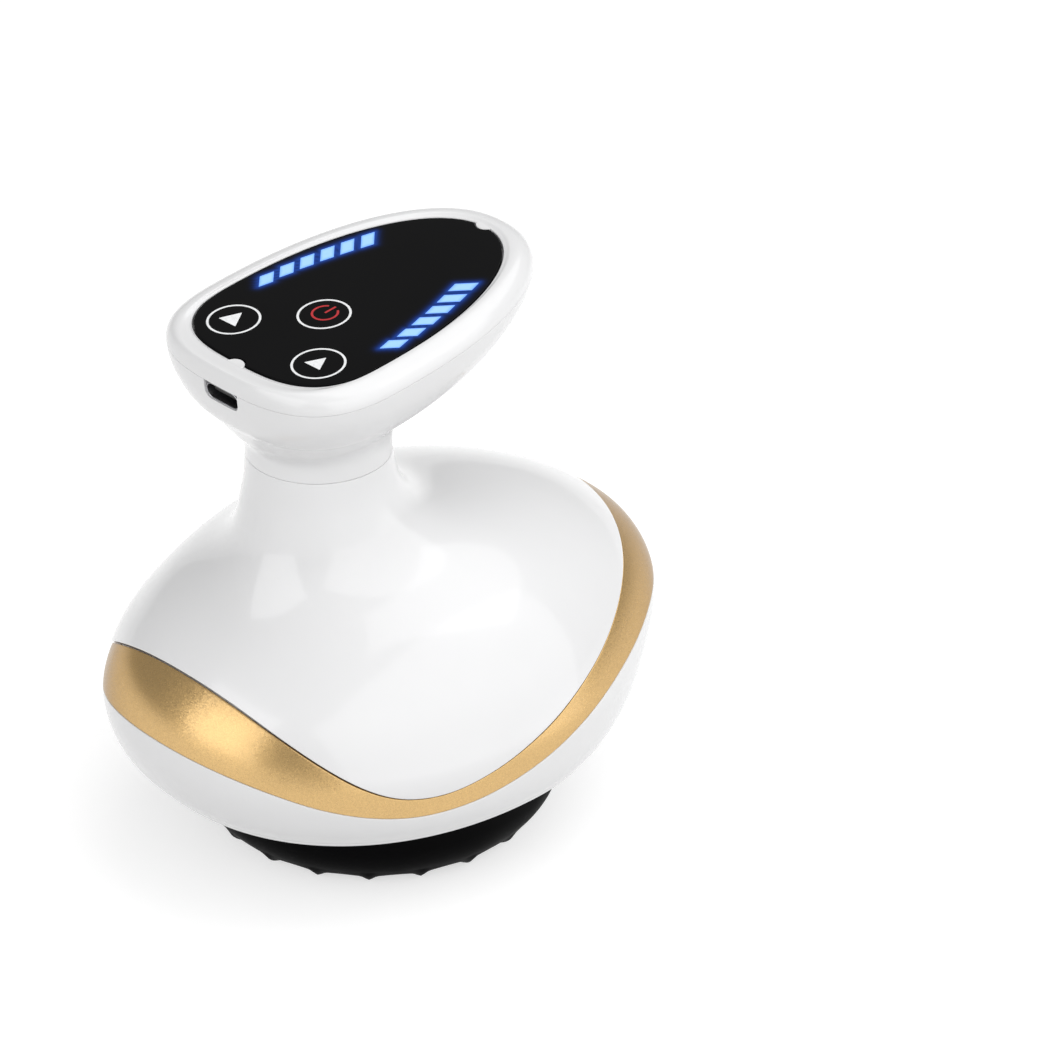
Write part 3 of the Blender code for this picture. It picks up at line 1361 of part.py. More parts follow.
def build_air_line(nozzle_top):
    """The tee on the valve's port, and the two soft tubes from the cup and to the pump."""
    tee = joined("air_tee", [cylinder_mesh(TEE_RADIUS, -TEE_RADIUS, TEE_RADIUS, steps=12)])
    arms = [
        cylinder_mesh(PORT_RADIUS, 0.0, TEE_ARM, steps=12),
        cylinder_mesh(PORT_RADIUS, 0.0, TEE_ARM, steps=12),
    ]
    arms[0].transform(Matrix.Rotation(math.radians(90.0), 4, "X"))
    arms[1].transform(Matrix.Rotation(math.radians(-90.0), 4, "Y"))
    for arm in arms:
        boolean(tee, hide(joined("tee_arm", [arm]), tee), "UNION")
    tee.location = (VALVE_PORT_X, VALVE_Y, TEE_HEIGHT)
    place(tee, CLEAR_SILICONE)

    lane_x = between(PUMP_X + PUMP_RADIUS, BATTERY_X - BATTERY_RADIUS, 0.55)
    lane_z = PUMP_HEIGHT - 2 * GAP
    start = Vector((0.0, HEAD_Y, nozzle_top + GAP))
    arm_end = Vector((VALVE_PORT_X, VALVE_Y - TEE_ARM - GAP, TEE_HEIGHT))
    suction = [start] + smooth_path(
        [
            start + Vector((0.0, 0.0, TUBE_RADIUS / 2)),
            start + Vector((0.0, 0.0, TUBE_RADIUS)),
            (lane_x * 0.45, HEAD_Y + TUBE_RADIUS, lane_z - 1.6 * TUBE_RADIUS),
            (lane_x, HEAD_Y + 4 * TUBE_RADIUS, lane_z),
            (lane_x, PUMP_FRONT - 2 * TUBE_RADIUS, lane_z),
            (between(lane_x, VALVE_PORT_X, 0.5), between(PUMP_FRONT, arm_end.y, 0.45), lane_z),
            arm_end - Vector((0.0, 2 * TUBE_RADIUS, 0.0)),
            arm_end - Vector((0.0, TUBE_RADIUS / 2, 0.0)),
        ],
        17,
    )
    suction.append(arm_end)
    place(tube("suction_tube", suction, TUBE_RADIUS), CLEAR_SILICONE)

    side_end = Vector((VALVE_PORT_X - TEE_ARM - GAP, VALVE_Y, TEE_HEIGHT))
    inlet = Vector((PUMP_X, PUMP_FRONT + PORT_LENGTH + GAP, PUMP_HEIGHT))
    pump_line = [side_end] + smooth_path(
        [
            side_end - Vector((TUBE_RADIUS / 2, 0.0, 0.0)),
            side_end - Vector((TUBE_RADIUS, 0.0, 0.0)),
            (between(side_end.x, inlet.x, 0.75), between(inlet.y, side_end.y, 0.75), between(TEE_HEIGHT, PUMP_HEIGHT, 0.5)),
            inlet + Vector((0.0, TUBE_RADIUS, 0.0)),
            inlet + Vector((0.0, TUBE_RADIUS / 2, 0.0)),
        ],
        12,
    )
    pump_line.append(inlet)
    place(tube("pump_tube", pump_line, TUBE_RADIUS), CLEAR_SILICONE)


def build_loom():
    """The wire loom from the control board down through the neck to its socket on the chassis."""
    width, depth, height = LOOM_SOCKET
    lane_x = between(PUMP_X + PUMP_RADIUS, BATTERY_X - BATTERY_RADIUS, 0.5)
    base = CHASSIS_TOP + GAP
    plug = joined(
        "loom_socket",
        [
            box_mesh(
                (lane_x - width / 2, LOOM_SOCKET_Y - depth / 2, base),
                (lane_x + width / 2, LOOM_SOCKET_Y + depth / 2, base + height),
            )
        ],
    )
    place(plug, WHITE_ABS)
    top = PANEL_MATRIX @ Vector((0.0, 0.0, -BOARD_DEPTH - BOARD_THICKNESS - GAP))
    bottom = Vector((lane_x, LOOM_SOCKET_Y, base + height + GAP))
    clear = PUMP_HEIGHT + PUMP_RADIUS + 3 * LOOM_RADIUS
    path = smooth_path(
        [
            top,
            (0.0, NECK_Y, between(top.z, SPIGOT_BOTTOM, 0.5)),
            (0.0, NECK_Y, SPIGOT_BOTTOM - OVERRUN),
            (lane_x / 2, between(NECK_Y, bottom.y, 0.25), between(clear, SPIGOT_BOTTOM, 0.4)),
            (lane_x, between(NECK_Y, bottom.y, 0.8), clear - 2 * LOOM_RADIUS),
            bottom + Vector((0.0, 0.0, 3 * LOOM_RADIUS)),
            bottom,
        ],
        17,
    )
    return place(tube("wire_loom", path, LOOM_RADIUS), BLACK_ABS)


def build_massager():
    build_upper_shell()
    build_gold_band()
    build_lower_shell()
    build_scraping_head()
    nozzle_top = build_cup_fittings()
    build_screws()
    notch = socket_cutter()
    build_handle_shell(notch)
    posts = board_posts()
    build_bezel(notch, posts)
    build_lens()
    build_board(posts)
    build_lamp_bar("lamp_bar_left", -1)
    build_lamp_bar("lamp_bar_right", 1)
    build_touch_spring("heat_key_spring", -KEY_SPACING / 2, -KEY_BACK)
    build_touch_spring("suction_key_spring", KEY_SPACING / 2, -KEY_BACK)
    build_touch_spring("power_key_spring", 0.0, POWER_FORWARD)
    build_socket()
    build_chassis()
    build_battery()
    build_pump()
    build_valve()
    build_air_line(nozzle_top)
    build_loom()


build_massager()
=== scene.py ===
"""Looks of the palm-held cupping massager: smooth shells, panel, lamps, head and finishes built around the
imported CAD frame. Metres, +Z up, +Y towards the handle's nose."""

import json
import math

import bmesh
import bpy
import numpy as np
from bpy.props import FloatProperty, FloatVectorProperty, IntProperty, PointerProperty
from mathutils import Matrix, Vector


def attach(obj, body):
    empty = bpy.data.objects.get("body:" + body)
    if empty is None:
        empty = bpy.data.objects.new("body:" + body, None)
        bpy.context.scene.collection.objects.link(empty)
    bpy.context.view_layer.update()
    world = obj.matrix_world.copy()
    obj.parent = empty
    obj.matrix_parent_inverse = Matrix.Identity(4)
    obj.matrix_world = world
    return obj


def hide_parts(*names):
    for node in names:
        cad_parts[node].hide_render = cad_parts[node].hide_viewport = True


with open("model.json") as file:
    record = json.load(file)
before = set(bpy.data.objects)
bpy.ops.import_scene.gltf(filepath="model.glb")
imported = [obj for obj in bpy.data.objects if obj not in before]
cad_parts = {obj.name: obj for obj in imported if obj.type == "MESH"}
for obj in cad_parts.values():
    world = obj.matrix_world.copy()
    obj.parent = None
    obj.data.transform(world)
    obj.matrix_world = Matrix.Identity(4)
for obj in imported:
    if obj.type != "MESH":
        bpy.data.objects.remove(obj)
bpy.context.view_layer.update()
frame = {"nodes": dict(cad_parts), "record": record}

bl_info = {
    "name": "Cupping massager",
    "version": (1, 0, 0),
    "blender": (4, 5, 0),
    "location": "3D View > Sidebar > Massager",
    "description": "Builds the shells, panel, lamps, head and finishes of a palm-held cupping massager",
    "category": "Object",
}

# Housing, as in the part's source
BODY_LENGTH = 0.1200
BODY_WIDTH = 0.0942
BODY_BOTTOM = 0.0192
BELL_RISE = 0.0646
NECK_FROM_BACK = 0.0424
NECK_RADIUS = 0.0139
WIDEST_STATION = 0.0166
LIP_RISE = 0.0020
EDGE_DROP = 0.00045
SPIGOT_LENGTH = 0.0060
WIRE_HOLE = 0.0050
NECK_SCREW_CIRCLE = 0.0078

# Handle and touch panel
PANEL_RISE = 0.0272
PANEL_TILT = math.radians(5.56)
PANEL_SETBACK = 0.0006
PANEL_WIDTH = 0.0424
PANEL_FRONT = 0.0434
PANEL_BACK = 0.0186
LENS_THICKNESS = 0.0012
HANDLE_WIDTH = 0.0527
HANDLE_FRONT = 0.0492
HANDLE_BACK = 0.0234
PARTING_DEPTH = 0.0032
BEZEL_WALL = 0.0010
LEDGE_WIDTH = 0.0012
SKIRT_DEPTH = 0.0020
SKIRT_SLOPE = 0.0014
TAB_RADIUS = 0.0021
TAB_REACH = 0.0010
BOARD_POSTS = ((0.0182, -0.0085), (0.0110, 0.0336))
POST_RADIUS = 0.0019
BOARD_SCREW_LENGTH = 0.0030

# Charging socket
SOCKET_WIDTH = 0.00894
SOCKET_HEIGHT = 0.00326
SOCKET_LENGTH = 0.0073
SOCKET_WALL = 0.00030
SOCKET_INSET = 0.0006

# Scraping head
HEAD_FORWARD = 0.0130
HEAD_RADIUS = 0.0368
HEAD_FILLET = 0.0100
TIP_HEIGHT = 0.0007
CUP_MOUTH = 0.0262
CUP_ROOF = 0.0235
CUP_DEPTH = 0.0132
FLOOR_HOLE = 0.0290
SEAL_RADIUS = 0.0307
SEAL_WIDTH = 0.0018
SEAL_HEIGHT = 0.0012
CLAMP_INNER = 0.0225
CLAMP_THICKNESS = 0.0018
HEAD_SCREW_CIRCLE = 0.0262
HEATER_RADIUS = 0.0185
HEATER_THICKNESS = 0.0015
LIGHT_RING_WIDTH = 0.0030
NOZZLE_BORE = 0.0013
NOZZLE_RADIUS = 0.0021
NOZZLE_FLANGE = 0.0046
NOZZLE_RISE = 0.0100
FILTER_RADIUS = 0.0042
FILTER_THICKNESS = 0.0012
MOUTH_ROUNDING = 0.0012
PLATE_ROUNDING = 0.0003
LIGHT_ROUNDING = 0.0006
NOZZLE_ROUNDING = 0.0002

# Massage tips: where they start round the head, how far down the skirt they sit, and their form
TIP_PHASE = math.radians(9.0)
TIP_SLOPE = math.radians(68.0)
TIP_BLUNTNESS = 0.02
TIP_PEAK = 1.01
TIP_RIDGE = 0.52
TIP_POINT = 0.55

# Screws, posts and chassis columns
SCREW_SHAFT = 0.0010
SCREW_HEAD = 0.0018
SCREW_HEAD_HEIGHT = 0.0014
SCREW_LENGTH = 0.0075
CASE_SCREW_CIRCLE = 0.0342
CASE_POST_RADIUS = 0.0026
CASE_POST_CLEARANCE = 0.0006
CHASSIS_WIDTH = 0.0470
CHASSIS_HEIGHT = 0.0060
CHASSIS_THICKNESS = 0.0020
COLUMN_EDGE = 0.0060
COLUMN_FRONT = 0.0300
COLUMN_BACK = 0.0412
WALL = 0.0018
GAP = 0.0003

# Edges and turns that the solids leave out
UNDERSIDE_TURN = 0.007
UNDERSIDE_EDGE = 0.035
UNDERSIDE_SHARES = (0.065, 0.3, 0.6, 0.95)
INNER_FLOOR_SHARES = (0.6, 0.3, 0.05)
INNER_FLOOR_TURN = 1.5
BAND_EDGE_SHARE = 1.2
INNER_WALL_START = 0.14
RECESS_EDGE = 0.00025
BACK_MARGIN_SHARE = 0.22
TAB_EDGE = 0.0001
LENS_EDGE = 0.00016
NOTCH_REACH = 0.0040
LENS_CUT_REACH = 0.0050
HOLE_EDGE_REACH = 0.002

# The solid that trims posts to the bell's wall, between two shares of the bell's rise
CORE_TOP, CORE_BOTTOM = 0.99, 0.04

# Derived places
NECK_Y = NECK_FROM_BACK - BODY_LENGTH / 2
HEAD_Y = NECK_Y + HEAD_FORWARD
NECK_JOINT = BODY_BOTTOM + BELL_RISE
PANEL_HEIGHT = NECK_JOINT + PANEL_RISE
PANEL_Y = NECK_Y - PANEL_SETBACK
FLOOR_TOP = BODY_BOTTOM + WALL
LIP_INSET = WALL + 4 * GAP / 3
LEDGE_DEPTH = LENS_THICKNESS + GAP
SOCKET_DEPTH = PARTING_DEPTH + GAP + SOCKET_HEIGHT / 2
BOARD_DEPTH = SOCKET_DEPTH + SOCKET_HEIGHT / 2 + GAP
SPIGOT_RADIUS = NECK_RADIUS - WALL - GAP
SPIGOT_BOTTOM = NECK_JOINT - SPIGOT_LENGTH
HEAD_TOP = BODY_BOTTOM - GAP
CUP_ROOF_HEIGHT = TIP_HEIGHT + CUP_DEPTH
FILLET_REACH = HEAD_RADIUS - HEAD_FILLET
FILLET_HEIGHT = TIP_HEIGHT + HEAD_FILLET
NOZZLE_HOLE = NOZZLE_RADIUS + GAP
OPENING_GAP = GAP / 3
SLEEVE_WALL = SOCKET_WALL * 0.6
SLEEVE_INSET = SOCKET_INSET * 0.6
SCREW_HOLE = SCREW_SHAFT + GAP
CHASSIS_BOTTOM = FLOOR_TOP + CHASSIS_HEIGHT - CHASSIS_THICKNESS
CASE_SCREW_X = CHASSIS_WIDTH / 2 + CASE_POST_CLEARANCE + CASE_POST_RADIUS
CASE_SCREW_REACH = CASE_SCREW_CIRCLE * math.sin(math.acos(CASE_SCREW_X / CASE_SCREW_CIRCLE))

# The bell from its underside (0) to the neck joint (1): forward, backward and sideways reach between the
# neck's radius (0) and the girth (1)
BELL_SHARES = (
    (0.000, 0.729, 0.756, 0.903),
    (0.040, 0.793, 0.848, 0.970),
    (0.113, 0.891, 0.943, 0.999),
    (0.204, 0.946, 0.997, 0.999),
    (0.286, 1.000, 0.981, 0.947),
    (0.386, 0.955, 0.903, 0.857),
    (0.459, 0.882, 0.750, 0.763),
    (0.514, 0.808, 0.610, 0.685),
    (0.596, 0.665, 0.353, 0.526),
    (0.668, 0.472, 0.208, 0.328),
    (0.741, 0.196, 0.105, 0.166),
    (0.787, 0.107, 0.073, 0.104),
    (0.842, 0.044, 0.045, 0.066),
    (0.914, 0.012, 0.010, 0.024),
    (1.000, 0.000, 0.000, 0.000),
)
GIRTH_SHARE = 0.159
FRONT_POWER = 1.86
BACK_POWER = 2.15

# The band's two edges: share of the body's length from its back, share of the bell's rise
BAND_TOP_SHARES = (
    (0.061, 0.468),
    (0.085, 0.395),
    (0.120, 0.313),
    (0.168, 0.231),
    (0.228, 0.177),
    (0.282, 0.168),
    (0.345, 0.186),
    (0.463, 0.244),
    (0.620, 0.335),
    (0.758, 0.423),
    (0.898, 0.499),
)
BAND_BOTTOM_SHARES = (
    (0.002, 0.277),
    (0.061, 0.222),
    (0.120, 0.168),
    (0.188, 0.127),
    (0.257, 0.109),
    (0.316, 0.113),
    (0.414, 0.140),
    (0.561, 0.209),
    (0.718, 0.273),
    (0.856, 0.304),
    (0.934, 0.295),
    (1.000, 0.277),
)

# The handle's shell from its parting line down: forward reach and height, backward reach and height,
# sideways reach, each from the neck (0) to the parting line (1)
HANDLE_SHARES = (
    (1.000, 1.000, 1.000, 1.000, 1.000),
    (0.985, 0.925, 0.990, 0.920, 0.985),
    (0.918, 0.817, 0.943, 0.804, 0.922),
    (0.793, 0.668, 0.784, 0.605, 0.740),
    (0.527, 0.541, 0.621, 0.518, 0.570),
    (0.328, 0.466, 0.438, 0.408, 0.376),
    (0.144, 0.386, 0.282, 0.308, 0.203),
    (0.041, 0.288, 0.115, 0.226, 0.067),
    (0.000, 0.166, 0.010, 0.140, 0.010),
    (0.000, 0.000, 0.000, 0.000, 0.000),
)
HANDLE_FRONT_POWER = 2.20
HANDLE_BACK_POWER = 2.96
PANEL_FRONT_POWER = 2.10
PANEL_BACK_POWER = 3.00

# Printed panel: key rings, triangles, power mark and lamp windows, in metres on the panel's face; the power
# mark's gap is in degrees to each side
KEY_RINGS = {
    "heat_key_ring": (-0.01165, -0.00935),
    "suction_key_ring": (0.01175, -0.00935),
    "power_key_ring": (0.0, 0.0027),
}
RING_RADIUS = 0.0049
RING_STROKE = 0.00048
ARROW_ROUNDING = 0.0002
KEY_ARROWS = {
    "heat_key_arrow": ((-0.01225, -0.00675), (-0.0142, -0.01085), (-0.0096, -0.01075)),
    "suction_key_arrow": ((0.0114, -0.0071), (0.0094, -0.01075), (0.0135, -0.01065)),
}
POWER_MARK = (-0.0002, 0.0031)
POWER_MARK_RADIUS = 0.00242
POWER_MARK_STROKE = 0.00045
POWER_MARK_GAP = 30.0
POWER_MARK_BAR = 0.00275
POWER_BAR_ROUNDING = 0.6
WINDOW_PLACES = (
    (0.0176, 0.00405),
    (0.01715, 0.0088),
    (0.0164, 0.01325),
    (0.0155, 0.0176),
    (0.0144, 0.0217),
    (0.01315, 0.0258),
)
WINDOW_RUN = ((0.00070, 0.00297), (0.00083, 0.00263))
WINDOW_REACH = ((0.00262, -0.00257), (0.00319, -0.00312))
WINDOW_ROUNDING = 0.0001
WINDOW_FADE = 0.35
WINDOW_SHARES = (0.05, 0.3, 0.55, 0.75, 0.9, 0.985)
WINDOW_EDGE_RED, WINDOW_EDGE_GREEN, WINDOW_EDGE_BLUE = 0.45, 0.62, 0.95
GLOW_REACH = 0.0006
GLOW_POWER = 1.3
PRINT_LOW, PRINT_HIGH = -0.00010, 0.00002
PRINT_EDGE = 0.00001

# Fineness of the meshes, and how far the tables are smoothed
COLUMNS = 240
TABLE_ROWS = 1201
ROW_SPREAD = 34.0
COLUMN_SPREAD = 2.0
SHELL_ROWS = 96
BAND_ROWS = 30
TRAY_ROWS = 26
LIP_ROWS = 8
CORE_ROWS = 60
HANDLE_ROWS = 121
GRIP_ROWS = 100
INNER_GRIP_ROWS = 40
CROWN_ROWS = 26
RECESS_ROWS = 10
SKIRT_ROWS = 44
HEAD_WALL_ROWS = 8
HANDLE_SPREAD = HANDLE_ROWS / 30
EDGE_STEPS = 5
PILL_STEPS = 17
MOUTH_STEPS = 8
OPENING_STEPS = 12
POWER_MARK_STEPS = 72
HEAD_COLUMNS = 320
PLATE_COLUMNS = 160
NOZZLE_COLUMNS = 64
RING_COLUMNS = 128
TAB_COLUMNS = 64
TAB_NOTCH_COLUMNS = 96
FLOOR_COLUMNS = 96
FLOOR_STEPS = 10
SHARP_ANGLE = math.radians(40.0)

# How much of a side a rounded corner may take, and how close points are joined or dropped
CORNER_SHARE = 0.45
WELD_REACH = 1e-7
FLAT_REACH = 1e-8

# The lens's rings from its middle outwards, closer together where it glows
LENS_SHARES = np.concatenate([np.linspace(0.02, 0.5, 14)[:-1], np.linspace(0.5, 1.0, 34)])

COLLECTION_NAME = "cupping_massager"

# What all colour settings have in common
COLOR = {"size": 3, "min": 0.0, "max": 1.0, "subtype": "COLOR"}


def full_turn(columns):
    """Evenly spread angles round an axis."""
    return np.arange(columns) * math.tau / columns


ANGLES = full_turn(COLUMNS)


def between(low, high, share):
    """The value at a share of the way from low to high."""
    return low + (high - low) * share


def bent(start, corner, stop, share):
    """The place at a share of the way from start to stop, drawn towards a corner."""
    return (1 - share) ** 2 * start + 2 * share * (1 - share) * corner + share * share * stop


def smoothstep(share):
    """A share that starts and ends gently."""
    share = np.clip(share, 0, 1)
    return share * share * (3 - 2 * share)


def smooth_curve(points):
    """A function through (place, value) points that turns only where they do."""
    places, values = np.array(points, dtype=float).T
    steps = np.diff(places)
    slopes = np.diff(values) / steps
    tangents = np.zeros(len(places))
    tangents[0], tangents[-1] = slopes[0], slopes[-1]
    for i in range(1, len(places) - 1):
        if slopes[i - 1] * slopes[i] > 0:
            first = 2 * steps[i] + steps[i - 1]
            second = steps[i] + 2 * steps[i - 1]
            tangents[i] = (first + second) / (first / slopes[i - 1] + second / slopes[i])

    def value(place):
        place = np.asarray(place, dtype=float)
        i = np.clip(np.searchsorted(places, place) - 1, 0, len(steps) - 1)
        t = np.clip((place - places[i]) / steps[i], 0, 1)
        inside = (
            (1 + 2 * t) * (1 - t) ** 2 * values[i]
            + t * (1 - t) ** 2 * steps[i] * tangents[i]
            + t * t * (3 - 2 * t) * values[i + 1]
            + t * t * (t - 1) * steps[i] * tangents[i + 1]
        )
        before = np.minimum(place - places[0], 0) * tangents[0]
        after = np.maximum(place - places[-1], 0) * tangents[-1]
        return inside + before + after

    return value


def blurred(values, spread, wraps=False):
    """Values smoothed along their first axis; the ends of an open row stay where they are."""
    reach = int(math.ceil(3 * spread))
    weights = np.exp(-0.5 * (np.arange(-reach, reach + 1) / spread) ** 2)
    weights /= weights.sum()
    if wraps:
        padded = np.concatenate([values[-reach:], values, values[:reach]])
    else:
        before = 2 * values[:1] - values[reach:0:-1]
        after = 2 * values[-1:] - values[-2 : -reach - 2 : -1]
        padded = np.concatenate([before, values, after])
    return sum(weight * padded[k : k + len(values)] for k, weight in enumerate(weights))


def oval_rings(half_width, front, back, front_power, back_power):
    """Egg-shaped rings whose widest station is at y = 0, one row of columns for each set of sizes."""
    half_width, front, back, front_power, back_power = (
        np.atleast_1d(np.asarray(v, dtype=float))[:, None] for v in (half_width, front, back, front_power, back_power)
    )
    across, along = np.cos(ANGLES), np.sin(ANGLES)
    power = np.where(along > 0, front_power, back_power)
    reach = np.where(along > 0, front, back)
    x = half_width * np.sign(across) * np.abs(across) ** (2 / power)
    y = reach * np.sign(along) * np.abs(along) ** (2 / power)
    rings = np.stack(np.broadcast_arrays(x, y), -1)
    return blurred(rings.swapaxes(0, 1), COLUMN_SPREAD, wraps=True).swapaxes(0, 1)


def grid_normals(points):
    """Outward directions of a skin whose rows run upwards and whose columns run anticlockwise."""
    along = np.roll(points, -1, axis=1) - np.roll(points, 1, axis=1)
    upward = np.gradient(points, axis=0)
    normals = np.cross(along, upward)
    return normals / np.linalg.norm(normals, axis=-1, keepdims=True)


def bell_table():
    """Points and outward directions of the bell's skin, from its underside to the neck joint."""
    shares = np.linspace(0, 1, TABLE_ROWS)
    rows = np.array(BELL_SHARES)
    front, back, side = (blurred(smooth_curve(rows[:, (0, k)])(shares), ROW_SPREAD) for k in (1, 2, 3))
    front = between(NECK_RADIUS, BODY_LENGTH - NECK_FROM_BACK, front)
    back = between(NECK_RADIUS, NECK_FROM_BACK, back)
    half_width = between(NECK_RADIUS, BODY_WIDTH / 2, side)
    blend = smoothstep((1 - shares) / (1 - GIRTH_SHARE))
    station = between((front - back) / 2, WIDEST_STATION, blend)
    rings = oval_rings(
        half_width,
        front - station,
        back + station,
        between(2, FRONT_POWER, blend),
        between(2, BACK_POWER, blend),
    )
    points = np.zeros((TABLE_ROWS, COLUMNS, 3))
    points[..., 0] = rings[..., 0]
    points[..., 1] = NECK_Y + station[:, None] + rings[..., 1]
    points[..., 2] = (BODY_BOTTOM + BELL_RISE * shares)[:, None]
    return points, grid_normals(points)


BELL_POINTS, BELL_NORMALS = bell_table()


def from_table(table, shares):
    """One ring of a table of rings, at one share of its height or at one for each column."""
    place = np.clip(np.broadcast_to(shares, (COLUMNS,)), 0, 1) * (len(table) - 1)
    low = np.minimum(place.astype(int), len(table) - 2)
    columns = np.arange(COLUMNS)
    share = (place - low)[:, None]
    return between(table[low, columns], table[low + 1, columns], share)


def bell_skin(shares, inset=0.0):
    """One ring of the bell's skin, moved inwards square to it."""
    inset = np.broadcast_to(inset, (COLUMNS,))[:, None]
    return from_table(BELL_POINTS, shares) - from_table(BELL_NORMALS, shares) * inset


def skin_rows(first, last, count, inset=0.0):
    """Evenly spread rings of the bell's skin from one height to another."""
    return [bell_skin(between(first, last, share), inset) for share in np.linspace(0, 1, count)]


def edge_shares(points):
    """The share of the rise at which an edge of the gold band crosses each column."""
    edge = smooth_curve(points)
    shares = np.linspace(0, 1, TABLE_ROWS)[:, None]
    above = shares - edge((BELL_POINTS[..., 1] + BODY_LENGTH / 2) / BODY_LENGTH)
    row = np.argmax(above >= 0, axis=0)
    columns = np.arange(COLUMNS)
    low, high = above[row - 1, columns], above[row, columns]
    crossing = (row - 1 - low / (high - low)) / (TABLE_ROWS - 1)
    return blurred(crossing, COLUMN_SPREAD, wraps=True)


def share_per_metre(shares):
    """How much of the rise one metre on the skin takes, square to an edge that runs through these shares."""
    points = bell_skin(shares)
    along = np.roll(points, -1, axis=0) - np.roll(points, 1, axis=0)
    along /= np.linalg.norm(along, axis=1, keepdims=True)
    step = 1 / (TABLE_ROWS - 1)
    upward = (bell_skin(shares + step) - bell_skin(shares - step)) / (2 * step)
    return 1 / np.linalg.norm(np.cross(upward, along), axis=1)


TOP_EDGE, BOTTOM_EDGE = edge_shares(BAND_TOP_SHARES), edge_shares(BAND_BOTTOM_SHARES)
TOP_SCALE, BOTTOM_SCALE = share_per_metre(TOP_EDGE), share_per_metre(BOTTOM_EDGE)


def edge_arc(radius):
    """A quarter-round edge as (distance back from the edge, distance in from the skin), face to end."""
    turns = np.linspace(0, math.pi / 2, EDGE_STEPS)
    return [(radius * (1 - math.sin(t)), radius * (1 - math.cos(t))) for t in turns]


def wall_rows(top, bottom, top_scale, bottom_scale, wall, radius, count, inset=0.0):
    """Rings of a closed wall that follows the bell between two edges, its outer edges rounded and its top set in."""
    support = 2 * radius
    high, low = top - top_scale * support, bottom + bottom_scale * support
    rows = [bell_skin(top - top_scale * back, inset + deep) for back, deep in reversed(edge_arc(radius))]
    for share in np.linspace(0, 1, count):
        rows.append(bell_skin(between(high, low, share), between(inset, 0.0, share)))
    rows += [bell_skin(bottom + bottom_scale * back, deep) for back, deep in edge_arc(radius)]
    for share in np.linspace(0, 1, count // 3):
        rows.append(bell_skin(between(bottom, top, share), wall + between(0.0, inset, share)))
    return rows


def massager_collection():
    """The collection of the finished pieces, made at its first use."""
    collection = bpy.data.collections.get(COLLECTION_NAME)
    if collection is None:
        collection = bpy.data.collections.new(COLLECTION_NAME)
        bpy.context.scene.collection.children.link(collection)
    return collection


def loft_mesh(rows, closed=True, cap_first=False, cap_last=False):
    """Rings of points joined row to row. Rings run anticlockwise seen from above, and rows run from the top
    down the outside."""
    rows = np.asarray(rows, dtype=float)
    count, columns = rows.shape[:2]
    index = np.arange(count * columns).reshape(count, columns)
    upper = index if closed else index[:-1]
    lower = np.roll(index, -1, axis=0) if closed else index[1:]
    faces = np.stack([upper, lower, np.roll(lower, -1, axis=1), np.roll(upper, -1, axis=1)], -1)
    faces = faces.reshape(-1, 4).tolist()
    if cap_first:
        faces.append(index[0].tolist())
    if cap_last:
        faces.append(index[-1][::-1].tolist())
    mesh = bpy.data.meshes.new("loft")
    mesh.from_pydata(rows.reshape(-1, 3).tolist(), [], faces)
    mesh.update()
    return mesh


def capped_mesh(rows):
    """Rings of points joined row to row, with the first and the last filled."""
    return loft_mesh(rows, closed=False, cap_first=True, cap_last=True)


def softened(profile, radius, steps=3, closed=True):
    """A polygon with its corners rounded off, each by a short arc."""
    points = [np.array(p, dtype=float) for p in profile]
    rounded = []
    for k, corner in enumerate(points):
        if not closed and k in (0, len(points) - 1):
            rounded.append(corner)
            continue
        before, after = points[k - 1] - corner, points[(k + 1) % len(points)] - corner
        back, ahead = np.linalg.norm(before), np.linalg.norm(after)
        start = corner + before / back * min(radius, back * CORNER_SHARE)
        stop = corner + after / ahead * min(radius, ahead * CORNER_SHARE)
        for t in np.linspace(0, 1, steps + 1):
            rounded.append(bent(start, corner, stop, t))
    return rounded


def arc(centre, radius, start, stop, count):
    """Points on a circle between two angles in degrees."""
    turns = np.radians(np.linspace(start, stop, count))
    return [np.array(centre) + radius * np.array([math.cos(t), math.sin(t)]) for t in turns]


def raised(outline, height):
    """A flat outline of (x, y) points brought to a height."""
    return np.column_stack([outline, np.full(len(outline), height)])


def round_ring(radius, y, height, angles=ANGLES):
    """A level circle round an upright axis on the middle plane."""
    return raised(np.column_stack([radius * np.cos(angles), y + radius * np.sin(angles)]), height)


def lathe_mesh(profile, columns, y=0.0, x=0.0):
    """A profile of (radius, height) points turned about an upright axis, outer side top to bottom."""
    turns = full_turn(columns)
    profile = np.asarray(profile, dtype=float)
    rows = np.zeros((len(profile), columns, 3))
    rows[..., 0] = x + profile[:, :1] * np.cos(turns)
    rows[..., 1] = y + profile[:, :1] * np.sin(turns)
    rows[..., 2] = profile[:, 1:]
    touches = profile[0, 0] == 0
    mesh = loft_mesh(rows, closed=not touches)
    if touches:
        weld(mesh)
    return mesh


def weld(mesh):
    """Join points that coincide, and drop what has no area left."""
    work = bmesh.new()
    work.from_mesh(mesh)
    bmesh.ops.remove_doubles(work, verts=work.verts, dist=WELD_REACH)
    bmesh.ops.dissolve_degenerate(work, edges=work.edges, dist=FLAT_REACH)
    work.to_mesh(mesh)
    work.free()


def plate_mesh(outline, low, high, edge=0.0):
    """A flat outline of (x, y) points with thickness between two heights, its upper edge broken."""
    outline = np.asarray(outline, dtype=float)
    along = np.roll(outline, -1, axis=0) - np.roll(outline, 1, axis=0)
    outward = np.stack([along[:, 1], -along[:, 0]], -1)
    outward /= np.linalg.norm(outward, axis=1, keepdims=True)
    rings = [(outline - outward * edge, high), (outline, high - edge), (outline, low)]
    return capped_mesh([raised(ring, height) for ring, height in (rings if edge else rings[1:])])


